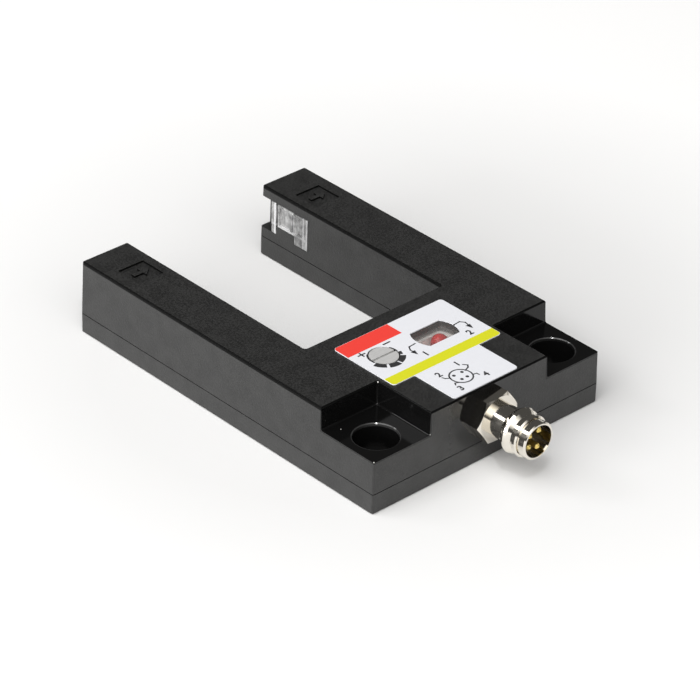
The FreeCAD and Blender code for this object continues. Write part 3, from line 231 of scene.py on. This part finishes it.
def blend_colour(tree, factor, low, high):
    made = node(tree, "Mix", data_type="RGBA")
    feed(tree, factor, made.inputs[0])
    feed(tree, opaque(low), made.inputs[6])  # the colour sockets of this node
    feed(tree, opaque(high), made.inputs[7])
    return made.outputs[2]


def blend_value(tree, factor, low, high):
    made = node(tree, "Mix", data_type="FLOAT")
    feed(tree, factor, made.inputs[0])
    feed(tree, low, made.inputs[2])
    feed(tree, high, made.inputs[3])
    return made.outputs[0]


def bump(tree, shader, height, strength, distance):
    """Relief from a height socket, with its distance in mm."""
    made = node(tree, "Bump")
    made.inputs["Strength"].default_value = strength
    made.inputs["Distance"].default_value = distance * MM
    tree.links.new(height, made.inputs["Height"])
    tree.links.new(made.outputs[0], shader.inputs["Normal"])


# Masks: 1 inside, 0 outside, with a soft step
def above(tree, value, edge, soft=0.05):
    made = node(tree, "MapRange")
    feed(tree, value, made.inputs["Value"])
    made.inputs["From Min"].default_value = edge - soft
    made.inputs["From Max"].default_value = edge + soft
    return made.outputs[0]


def below(tree, value, edge, soft=0.05):
    return math_node(tree, "SUBTRACT", 1.0, above(tree, value, edge, soft))


def within(tree, value, low, high, soft=0.05):
    return both(tree, above(tree, value, low, soft), below(tree, value, high, soft))


def both(tree, *masks):
    result = masks[0]
    for mask in masks[1:]:
        result = math_node(tree, "MULTIPLY", result, mask)
    return result


def either(tree, *masks):
    result = masks[0]
    for mask in masks[1:]:
        result = math_node(tree, "MAXIMUM", result, mask)
    return result


# Finishes
def housing_regions(tree, place):
    """Masks of the polished pockets, the counterbores' rims (a painted highlight), the plug's seat
    (painted near black, a painted reflection of the nut) and the edges painted dark as painted
    shade.
    """
    x, y, z = split(tree, place)
    side = math_node(tree, "ABSOLUTE", x)
    lean = split(tree, node(tree, "NewGeometry").outputs["Normal"])

    pocket = both(tree, within(tree, side, *POCKET_SIDE), within(tree, y, *POCKET_ALONG),
                  above(tree, z, POCKET_FLOOR))
    hole = both(tree, within(tree, side, *HOLE_SIDE), within(tree, y, *HOLE_ALONG),
                within(tree, z, *HOLE_HEIGHT))
    polished = either(tree, pocket, hole)

    from_screw = node(tree, "CombineXYZ")
    tree.links.new(math_node(tree, "SUBTRACT", side, SCREW_SIDE), from_screw.inputs[0])
    tree.links.new(y, from_screw.inputs[1])
    reach = vector_node(tree, "LENGTH", from_screw.outputs[0])["Value"]
    rim = both(tree, within(tree, reach, *RIM_REACH), within(tree, z, *RIM_HEIGHT))

    # glossy patch round the plug, painted near black as a painted reflection of the nut
    seat_with_painted_reflection = both(tree, above(tree, x, PLUG_SEAT_WEST, soft=1.6), below(tree, x, PLUG_SEAT_EAST),
                below(tree, y, PLUG_SEAT_FRONT), above(tree, z, PLUG_SEAT_FOOT, soft=0.8))

    # rounded and bevelled edges lean between upright and level; the top edges are painted near
    # black with little gloss as painted shade, and the seam is painted dark along the joint
    edge = both(tree, either(tree, above(tree, z, UPPER_EDGES), within(tree, z, *SEAM_HEIGHT)),
                below(tree, lean[2], LEVEL, soft=0.02), above(tree, lean[2], UPRIGHT))
    # the sunk marks' walls and the tops of the walls that face -X are painted dark too, as painted
    # shade
    mark = both(tree, within(tree, side, MARK_SIDE - MARK_REACH, MARK_SIDE + MARK_REACH),
                within(tree, y, MARK_ALONG - MARK_REACH, MARK_ALONG + MARK_REACH),
                above(tree, z, MARK_FLOOR), below(tree, lean[2], MARK_LEAN))
    brow = both(tree, above(tree, z, BROW_FOOT, soft=0.08), below(tree, lean[2], WALL_LEAN),
                below(tree, lean[0], FACES_WEST))
    return polished, rim, seat_with_painted_reflection, either(tree, edge, mark, brow)


def housing_material(name, painted_light_factor=1.0):
    """Black moulding: fine grain outside, polished in the pockets and round the plug, with painted
    shade on its edges, a painted highlight on the counterbores' rims and a painted reflection round
    the plug. Its painted light factor paints the whole moulding paler or darker.
    """
    material, tree, shader = new_material(name)
    place = place_in_mm(tree)
    polished, rim, seat_with_painted_reflection, edge = housing_regions(tree, place)
    smooth = either(tree, polished, seat_with_painted_reflection)
    grain = noise(tree, place, GRAIN_SCALE, detail=4.0, roughness=0.65)
    grain = ramp(tree, grain, [(0.34, 0.0), (0.66, 1.0)])
    cloud = noise(tree, place, CLOUD_SCALE, detail=3.0)

    mottle = ramp(tree, blend_value(tree, GRAIN_SHARE, cloud, grain), [(0.38, 0.0), (0.62, 1.0)])
    dark, light = (shaded(BLACK_PLASTIC, factor * painted_light_factor) for factor in GRAIN_SHADE)
    tone = blend_colour(tree, mottle, dark, light)
    # polished pockets near black; edges, sunk marks and the plug's seat painted near black as
    # painted shade and painted reflection
    tone = blend_colour(tree, either(tree, smooth, edge), tone, POLISHED_BLACK_AND_PAINTED_SHADE)
    # the counterbores' rims are painted paler grey, a painted highlight
    tree.links.new(blend_colour(tree, rim, tone, RIM_PAINTED_HIGHLIGHT), shader.inputs["Base Color"])

    rough = blend_value(tree, grain, *GRAIN_ROUGHNESS)
    rough = blend_value(tree, seat_with_painted_reflection, rough, SEAT_ROUGHNESS)
    rough = blend_value(tree, polished, rough, POLISHED_ROUGHNESS)
    tree.links.new(blend_value(tree, rim, rough, RIM_ROUGHNESS), shader.inputs["Roughness"])

    gloss = blend_value(tree, grain, *GRAIN_GLOSS)
    gloss = blend_value(tree, seat_with_painted_reflection, gloss, SEAT_GLOSS)
    off_rim = math_node(tree, "SUBTRACT", polished, rim, clamp=True)
    gloss = blend_value(tree, off_rim, gloss, POLISHED_GLOSS)
    gloss = blend_value(tree, edge, gloss, EDGE_GLOSS)
    tree.links.new(gloss, shader.inputs["Specular IOR Level"])

    height = math_node(tree, "MULTIPLY", grain, math_node(tree, "SUBTRACT", 1.0, smooth))
    bump(tree, shader, height, strength=0.55, distance=0.03)
    return material


def plain_material(name, colour, roughness, variation=0.12, grain=0.2):
    """A moulded or cast surface with slight changes of colour and roughness."""
    material, tree, shader = new_material(name)
    place = place_in_mm(tree)
    low = shaded(colour, 1 - variation)
    high = tuple(min(channel, 1.0) for channel in shaded(colour, 1 + variation))
    cloud = noise(tree, place, scale=1.2, detail=3.0)
    tree.links.new(blend_colour(tree, cloud, low, high), shader.inputs["Base Color"])
    fine = noise(tree, place, scale=8.0)
    rough = blend_value(tree, fine, roughness * 0.8, roughness * 1.2)
    tree.links.new(rough, shader.inputs["Roughness"])
    bump(tree, shader, fine, strength=grain, distance=0.02)
    return material


def turned_metal(name, colour, roughness):
    """Plated brass with faint turning marks round the connector's axis."""
    material, tree, shader = new_material(name)
    place = place_in_mm(tree)
    cloud = noise(tree, place, scale=1.4, detail=3.0)
    tone = blend_colour(tree, cloud, shaded(colour, 0.93), colour)
    tree.links.new(tone, shader.inputs["Base Color"])
    shader.inputs["Metallic"].default_value = 1.0
    rough = blend_value(tree, cloud, roughness * 0.7, roughness * 1.3)
    tree.links.new(rough, shader.inputs["Roughness"])
    marks = node(tree, "TexWave", wave_type="BANDS", bands_direction="Y")
    tree.links.new(place, marks.inputs["Vector"])
    marks.inputs["Scale"].default_value = WAVE_PERIOD / TURNING_PITCH
    marks.inputs["Distortion"].default_value = 0.8
    bump(tree, shader, marks.outputs["Fac"], strength=0.06, distance=0.01)
    return material


def clear_material(name, tint, alpha):
    """Polished clear moulding with faint flow marks."""
    material, tree, shader = new_material(name)
    place = place_in_mm(tree)
    cloud = noise(tree, place, scale=0.9)
    tone = blend_colour(tree, cloud, shaded(tint, 0.85), tint)
    tree.links.new(tone, shader.inputs["Base Color"])
    shader.inputs["Alpha"].default_value = alpha
    shader.inputs["Roughness"].default_value = 0.05
    shader.inputs["Specular IOR Level"].default_value = 1.0
    bump(tree, shader, noise(tree, place, scale=1.6), strength=0.06, distance=0.02)
    return material


def lens_material():
    """Clear moulding: streaked panes, the far one in painted shade, between a bright sill and
    bright upright strips that are painted highlights.
    """
    material, tree, shader = new_material("clear_lens")
    place = place_in_mm(tree)
    _, y, z = split(tree, place)
    lit = above(tree, y, LENS_LIT_FROM, soft=0.3)

    stretched = vector_node(tree, "MULTIPLY", place, LENS_STREAK_STRETCH)["Vector"]
    streaks = noise(tree, stretched, scale=1.25)
    streaks = ramp(tree, streaks, [(0.34, 0.16), (0.5, 0.33), (0.66, 0.58)])
    # the far pane is darkened, painted shade
    painted_light_factor = blend_value(tree, lit, *LENS_PANE_PAINTED_SHADE)
    streaks = blend_colour(tree, painted_light_factor, streaks, LENS_PAINTED_SHADE)

    # painted highlights: the bright sill and the bright upright strips
    painted_highlights = math_node(tree, "MULTIPLY", within(tree, z, *LENS_SILL),
                       blend_value(tree, lit, *LENS_SILL_HIGHLIGHT))
    for low, high, strength in LENS_HIGHLIGHT_STRIPS:
        strip = within(tree, y, low, high, soft=0.1)
        painted_highlights = either(tree, painted_highlights, math_node(tree, "MULTIPLY", strip, strength))
    tone = blend_colour(tree, painted_highlights, streaks, LENS_PAINTED_HIGHLIGHT)
    tree.links.new(tone, shader.inputs["Base Color"])
    shader.inputs["Alpha"].default_value = 0.8
    shader.inputs["Roughness"].default_value = 0.08
    shader.inputs["Specular IOR Level"].default_value = 1.0
    bump(tree, shader, streaks, strength=0.25, distance=0.05)
    return material


def foil_material():
    """White printed foil, slightly uneven."""
    material, tree, shader = new_material("label_foil")
    place = place_in_mm(tree)
    cloud = noise(tree, place, scale=0.8, detail=3.0)
    tone = blend_colour(tree, cloud, shaded(LABEL_WHITE, 0.96), LABEL_WHITE)
    tree.links.new(tone, shader.inputs["Base Color"])
    shader.inputs["Roughness"].default_value = 0.45
    bump(tree, shader, noise(tree, place, scale=3.0), strength=0.1, distance=0.01)
    return material


def brushed_grey():
    """Grey head of the adjuster, brushed along its slot."""
    material, tree, shader = new_material("adjuster_grey")
    stretched = vector_node(tree, "MULTIPLY", place_in_mm(tree), (0.7, 7.0, 1.0))["Vector"]
    streaks = noise(tree, stretched, scale=1.0, detail=3.0)
    tone = blend_colour(tree, streaks, ADJUSTER_DARK, ADJUSTER_LIGHT)
    tree.links.new(tone, shader.inputs["Base Color"])
    shader.inputs["Roughness"].default_value = 0.45
    shader.inputs["Metallic"].default_value = 0.15
    bump(tree, shader, streaks, strength=0.2, distance=0.02)
    return material


def ink_material(name, colour):
    """Printed ink, slightly broken by the print's own grain."""
    material, tree, shader = new_material(name)
    cloud = noise(tree, place_in_mm(tree), scale=6.0, detail=3.0)
    low = tuple(channel + 0.01 for channel in shaded(colour, 0.88))
    tree.links.new(blend_colour(tree, cloud, low, colour), shader.inputs["Base Color"])
    shader.inputs["Roughness"].default_value = 0.4
    return material


def finish_nodes():
    """A procedural finish on every CAD node."""
    dark = plain_material("dark_moulding", (0.02, 0.02, 0.021), 0.4)
    optic = lens_material()
    nickel = turned_metal("nickel_plate", NICKEL, 0.1)
    gold = turned_metal("gold_plate", GOLD, 0.36)
    board = plain_material("green_board", (0.02, 0.12, 0.04), 0.35)
    rubber = plain_material("black_rubber", (0.015, 0.015, 0.015), 0.65)
    finishes = {
        "upper_housing": housing_material("black_moulding"),
        # the lower housing is painted a little paler, as painted light
        "lower_housing": housing_material("black_moulding_base", BASE_PAINTED_LIGHT),
        "label": foil_material(),
        "indicator_window": clear_material("clear_cap", CLEAR_TINT, alpha=0.06),
        "light_holder": plain_material("grey_reflector", (0.85, 0.77, 0.74), 0.25, variation=0.3),
        "signal_led": plain_material("red_resin", (0.42, 0.008, 0.008), 0.08, grain=0.05),
        "power_led": plain_material("pale_resin", (0.55, 0.6, 0.4), 0.25),
        "adjuster": brushed_grey(),
        "adjuster_seal": rubber,
        "trimmer_rotor": plain_material("white_moulding", (0.7, 0.7, 0.66), 0.4),
        "trimmer_body": dark,
        "connector_shell": nickel,
        "connector_insert": plain_material("brown_carrier", (0.035, 0.027, 0.012), 0.3),
        "connector_seal": rubber,
        "connector_nut": nickel,
        "connector_board": board,
        "circuit_board": board,
        "emitter_lens": optic,
        "receiver_lens": optic,
        "emitter": plain_material("pale_emitter", (0.6, 0.6, 0.62), 0.2),
        "receiver": plain_material("pale_receiver", (0.5, 0.5, 0.52), 0.2),
        "emitter_holder": plain_material("grey_holder", (0.35, 0.34, 0.34), 0.4),
        "receiver_holder": plain_material("grey_holder_2", (0.35, 0.34, 0.34), 0.4),
        "signal_chip": dark,
        "voltage_regulator": dark,
        "resistors": plain_material("dark_ceramic", (0.06, 0.06, 0.07), 0.3),
        "capacitors": plain_material("tan_ceramic", (0.42, 0.28, 0.16), 0.35),
    }
    for number in range(1, 5):
        finishes[f"contact_pin_{number}"] = gold
    for name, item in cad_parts.items():
        for slot in item.material_slots:
            slot.material = finishes[name]


# Print on the label, in mm with Y from the rear face
PRINT_LIFT = 0.004 * MM
PRINT_THICK = 0.012 * MM
ARC_STEPS = 48  # in a whole circle
CORNER_STEPS = 6
LABEL_HALF = 12.0
LABEL_REAR = 9.7
LABEL_FRONT = 23.9
LABEL_RADIUS = 0.6
INSET = 0.04  # print keeps this far inside the foil's edge
RED_CORNER = (-0.2, 20.35)
YELLOW_FRONT = 11.95
THIN_LINE = 0.24
SIGN_LINE = 0.3
DIAL = (-7.15, 17.2)
DIAL_SEGMENTS = (  # inner and outer radius, start and end in degrees
    (2.5, 2.82, 134, 193),
    (2.6, 3.65, 199, 236),
    (2.65, 3.75, 244, 279),
    (2.6, 3.6, 284, 322),
    (2.5, 3.15, 328, 346),
    (2.5, 2.76, 352, 388),
)
DIAL_SIGNS = (  # plus and minus at the two ends of the dial
    ((-10.4, 19.65), (-9.1, 19.65)),
    ((-9.75, 19.1), (-9.75, 20.15)),
    ((-4.9, 19.65), (-3.6, 19.65)),
)
LEADERS = (  # a line from each end of the window, and its arrow head
    (((7.9, 16.62), (9.3, 16.75), (9.9, 16.0), (9.7, 14.9)),
     ((9.15, 15.2), (9.65, 13.85), (10.15, 15.15))),
    (((-0.85, 16.56), (-2.3, 16.45), (-2.8, 15.6), (-2.76, 14.9)),
     ((-3.25, 15.1), (-2.72, 13.8), (-2.25, 15.15))),
)
PLUG_MARK = (-1.98, 4.73)
PLUG_RING = (1.8, 2.07)
PLUG_DOTS = ((-2.82, 5.54), (-1.07, 5.5), (-1.34, 4.01), (-2.54, 3.99))
DOT_RING = (0.01, 0.3)
PLUG_LEADS = (
    ((-0.33, 5.5), (0.7, 5.9), (1.1, 6.4), (0.6, 7.0)),
    ((-3.75, 5.35), (-4.45, 5.8), (-4.65, 6.3)),
    ((-0.2, 3.85), (0.45, 3.7), (0.52, 3.2)),
    ((-3.5, 3.55), (-4.2, 3.85), (-4.5, 3.4)),
)
DIGIT_SIZE = 1.8
CAPTION_SIZE = 1.9
DIGIT_WEIGHT = 0.06
DIGITS = (  # the four ways of the plug, then the two lamps in the window
    ("1", 0.05, 7.75, DIGIT_SIZE),
    ("2", -4.5, 7.25, DIGIT_SIZE),
    ("3", -4.5, 2.15, DIGIT_SIZE),
    ("4", 1.5, 2.6, DIGIT_SIZE),
    ("1", -1.6, 13.2, CAPTION_SIZE),
    ("2", 8.3, 13.25, CAPTION_SIZE),
)


def object_from(mesh, name):
    """An object in the scene from a bmesh."""
    data = bpy.data.meshes.new(name)
    mesh.to_mesh(data)
    mesh.free()
    item = bpy.data.objects.new(name, data)
    bpy.context.collection.objects.link(item)
    return item


def print_mesh(name, outlines, colour, level=0):
    """Closed thin solids of printed ink from flat outlines."""
    mesh = bmesh.new()
    low = LABEL_TOP - PRINT_THICK / 2
    high = LABEL_TOP + PRINT_LIFT + level * PRINT_LIFT
    for points in outlines:
        ring_low = [mesh.verts.new((x * MM, y * MM - REAR, low)) for x, y in points]
        ring_high = [mesh.verts.new((x * MM, y * MM - REAR, high)) for x, y in points]
        mesh.faces.new(ring_high)
        mesh.faces.new(list(reversed(ring_low)))
        count = len(points)
        for n in range(count):
            after = (n + 1) % count
            mesh.faces.new((ring_low[n], ring_low[after], ring_high[after], ring_high[n]))
    bmesh.ops.recalc_face_normals(mesh, faces=mesh.faces)
    item = object_from(mesh, name)
    item.data.materials.append(ink_material(f"{name}_ink", colour))
    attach(item, "housing")


def stroke(points, width):
    """Outlines of straight strokes of one width along a line of points."""
    outlines = []
    for (ax, ay), (bx, by) in zip(points, points[1:]):
        run = math.hypot(bx - ax, by - ay)
        ux, uy = (bx - ax) / run * width / 2, (by - ay) / run * width / 2
        ax, ay, bx, by = ax - ux, ay - uy, bx + ux, by + uy
        outlines.append([
            (ax - uy, ay + ux), (ax + uy, ay - ux), (bx + uy, by - ux), (bx - uy, by + ux),
        ])
    return outlines


def sector(x, y, inner, outer, start, end):
    """Ring segment from start to end, degrees anticlockwise from +X."""
    steps = max(2, round(abs(end - start) / 360 * ARC_STEPS))
    angles = [math.radians(start + (end - start) * n / steps) for n in range(steps + 1)]
    far = [(x + outer * math.cos(a), y + outer * math.sin(a)) for a in angles]
    close = [(x + inner * math.cos(a), y + inner * math.sin(a)) for a in reversed(angles)]
    return far + close


def rounded_corner(x, y, radius, start):
    """Points of a quarter circle about a centre, from start degrees on."""
    angles = [math.radians(start + 90 * n / CORNER_STEPS) for n in range(CORNER_STEPS + 1)]
    return [(x + radius * math.cos(a), y + radius * math.sin(a)) for a in angles]


def print_bands():
    """Red field at the front left and yellow band across."""
    left, right = -LABEL_HALF + INSET, LABEL_HALF - INSET
    front, rear = LABEL_FRONT - INSET, LABEL_REAR + INSET
    radius = LABEL_RADIUS
    red = [(left, RED_CORNER[1]), RED_CORNER, (RED_CORNER[0], front)]
    red += rounded_corner(left + radius, front - radius, radius, 90)
    print_mesh("red_field", [red], PRINT_RED)
    yellow = rounded_corner(left + radius, rear + radius, radius, 180)
    yellow += rounded_corner(right - radius, rear + radius, radius, 270)
    yellow += [(right, YELLOW_FRONT), (left, YELLOW_FRONT)]
    print_mesh("yellow_band", [yellow], PRINT_YELLOW)


def print_marks():
    """Dial segments and signs, window leaders and the connector diagram."""
    outlines = [sector(*DIAL, *segment) for segment in DIAL_SEGMENTS]
    for sign in DIAL_SIGNS:
        outlines += stroke(sign, SIGN_LINE)
    for line, head in LEADERS:
        outlines += stroke(line, THIN_LINE)
        outlines.append(head)
    outlines.append(sector(*PLUG_MARK, *PLUG_RING, 0, 180))
    outlines.append(sector(*PLUG_MARK, *PLUG_RING, 180, 360))
    outlines += [sector(*dot, *DOT_RING, 0, 359.9) for dot in PLUG_DOTS]
    for lead in PLUG_LEADS:
        outlines += stroke(lead, THIN_LINE)
    print_mesh("black_marks", outlines, PRINT_BLACK, level=1)


def print_digits():
    """Plain numbers at the plug's four ways and the window's two lamps."""
    for number, (digit, x, y, size) in enumerate(DIGITS, start=1):
        name = f"number_{number}"
        curve = bpy.data.curves.new(name, "FONT")
        curve.body = digit
        curve.size = size * MM
        curve.offset = DIGIT_WEIGHT * MM
        curve.extrude = PRINT_THICK / 2
        curve.align_x = "CENTER"
        curve.align_y = "CENTER"
        item = bpy.data.objects.new(name, curve)
        item.location = (x * MM, y * MM - REAR, LABEL_TOP + PRINT_LIFT)
        bpy.context.collection.objects.link(item)
        item.data.materials.append(ink_material(f"{name}_ink", PRINT_BLACK))
        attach(item, "housing")


# Dust specks, in mm with Y from the rear face
SPECKS = (
    (-25.05, 37.9, 3.95), (-25.05, 32.4, 3.95), (-13.0, 12.3, 13.7), (-13.0, 12.2, 9.8),
    (-13.0, 0.2, 9.8), (-22.5, 10.5, 9.7), (-24.9, 0.3, 9.6), (15.1, 27.5, 3.9),
    (15.2, 3.0, 9.7),
)
SPECK_SIZE = 0.15
SPECK_SPREAD = (0.6, 1.2)  # of that size
SPECK_WIDTH = (0.5, 0.9)  # of a speck's length
SPECK_HEIGHT = 0.6
SPECK_SEED = 5
DUST_COLOUR = (0.7, 0.69, 0.66)


def make_dust():
    """A few pale specks where the moulding has caught dust."""
    rng = random.Random(SPECK_SEED)
    mesh = bmesh.new()
    for x, y, z in SPECKS:
        size = SPECK_SIZE * rng.uniform(*SPECK_SPREAD) * MM
        turn = Euler([rng.uniform(0, 6) for _ in range(3)]).to_matrix().to_4x4()
        width = size * rng.uniform(*SPECK_WIDTH)
        shape = Matrix.Diagonal((size, width, size * SPECK_HEIGHT, 1))
        bmesh.ops.create_icosphere(mesh, subdivisions=1, radius=1,
                                   matrix=Matrix.Translation(spot(x, y, z)) @ turn @ shape)
    item = object_from(mesh, "dust")
    item.data.materials.append(plain_material("dust_pale", DUST_COLOUR, 0.8))
    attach(item, "housing")


# Stage, in metres and watts
MIDDLE = (0.0, 0.03, 0.0)  # the middle of the fork, where the lamps aim
TABLE_REACH = 2.5
TABLE_DROP = 0.02 * MM
TABLE_WHITE = (0.82, 0.82, 0.82)
GLOW_REACH = 0.2
TABLE_GLOW = [(0.2, 0.0), (0.57, 0.22)]  # by shares of that reach
ROOM_TINT = (1.0, 0.985, 0.96)
ROOM_DARK = 0.075
ROOM_FILL = 1.95
FILL_SIDE = (-0.8, -0.6, 0.0)  # the fill stands behind the camera, a little to its left
FILL_FROM = 0.4  # a direction's share toward that side, where the fill begins
FILL_HEIGHT = 0.35
HORIZON_GLOW = 0.7
HORIZON_FROM = 0.4  # a direction's share toward +X
HORIZON_FOOT = 0.02
HORIZON_TOP = 0.14
LAMPS = (  # name, place, width and height, power
    ("key", (-0.36, 0.06, 0.74), (0.7, 0.7), 3.3),
    ("low_left", (-0.62, -0.05, 0.14), (0.5, 0.2), 2.1),
    ("behind", (-0.42, 0.5, 0.5), (0.18, 0.18), 0.7),
    ("small", (-0.26, -0.27, 0.59), (0.06, 0.06), 0.8),
)


def make_floor():
    mesh = bmesh.new()
    corners = ((-1, -1), (1, -1), (1, 1), (-1, 1))
    mesh.faces.new([mesh.verts.new((x * TABLE_REACH, y * TABLE_REACH, 0.0)) for x, y in corners])
    floor = object_from(mesh, "floor")
    floor.location.z = -TABLE_DROP
    material, tree, shader = new_material("white_table")
    shader.inputs["Base Color"].default_value = opaque(TABLE_WHITE)
    shader.inputs["Roughness"].default_value = 0.7
    # where it is seen or mirrored, the table turns white away from the object
    path = node(tree, "LightPath").outputs
    seen = math_node(tree, "ADD", path["Is Camera Ray"], path["Is Glossy Ray"], clamp=True)
    seen = math_node(tree, "ADD", seen, path["Is Transmission Ray"], clamp=True)
    coords = node(tree, "TexCoord").outputs["Object"]
    distance = vector_node(tree, "DISTANCE", coords, MIDDLE)["Value"]
    glow = ramp(tree, math_node(tree, "MULTIPLY", distance, 1 / GLOW_REACH), TABLE_GLOW)
    shader.inputs["Emission Color"].default_value = (1, 1, 1, 1)
    tree.links.new(math_node(tree, "MULTIPLY", seen, glow), shader.inputs["Emission Strength"])
    floor.data.materials.append(material)


def make_room():
    """Dim all round, bright high behind the camera, and pale at the horizon toward +X."""
    world = bpy.data.worlds.new("studio")
    bpy.context.scene.world = world
    world.use_nodes = True
    tree = world.node_tree
    background = tree.nodes["Background"]
    background.inputs["Color"].default_value = opaque(ROOM_TINT)
    direction = node(tree, "TexCoord").outputs["Generated"]
    x, _, z = split(tree, direction)
    toward = vector_node(tree, "DOT_PRODUCT", direction, FILL_SIDE)["Value"]
    fill = both(tree, above(tree, toward, FILL_FROM, soft=0.25),
                above(tree, z, FILL_HEIGHT, soft=0.15))
    room = blend_value(tree, fill, ROOM_DARK, ROOM_FILL)
    horizon = both(tree, above(tree, z, HORIZON_FOOT, soft=0.02),
                   below(tree, z, HORIZON_TOP, soft=0.03), above(tree, x, HORIZON_FROM, soft=0.3))
    strength = blend_value(tree, horizon, room, HORIZON_GLOW)
    tree.links.new(strength, background.inputs["Strength"])


def make_lamps():
    """Soft boxes high, low and behind at the left, and a small lamp."""
    for name, place, (width, height), power in LAMPS:
        data = bpy.data.lights.new(name, "AREA")
        data.shape = "RECTANGLE"
        data.size, data.size_y = width, height
        data.energy = power
        lamp = bpy.data.objects.new(name, data)
        bpy.context.collection.objects.link(lamp)
        lamp.location = place
        aim = Vector(MIDDLE) - Vector(place)
        lamp.rotation_euler = aim.to_track_quat("-Z", "Y").to_euler()


def make_camera():
    data = bpy.data.cameras.new("camera")
    data.lens = CAMERA_LENS
    data.sensor_width = CAMERA_SENSOR
    data.clip_start, data.clip_end = CAMERA_RANGE
    camera = bpy.data.objects.new("camera", data)
    bpy.context.collection.objects.link(camera)
    yaw, pitch, roll = (math.radians(a) for a in (CAMERA_YAW, CAMERA_PITCH, CAMERA_ROLL))
    forward = Vector((math.cos(pitch) * math.sin(-yaw), math.cos(pitch) * math.cos(yaw),
                      math.sin(pitch)))
    level = forward.cross(Vector((0, 0, 1))).normalized()
    upright = level.cross(forward)
    right = level * math.cos(roll) + upright * math.sin(roll)
    up = upright * math.cos(roll) - level * math.sin(roll)
    turn = Matrix((right, up, -forward)).transposed()
    camera.matrix_world = Matrix.Translation(Vector(CAMERA_PLACE) * MM) @ turn.to_4x4()
    bpy.context.scene.camera = camera


make_camera()
finish_nodes()
print_bands()
print_marks()
print_digits()
make_dust()
make_floor()
make_room()
make_lamps()
bpy.context.scene.view_settings.view_transform = "Standard"
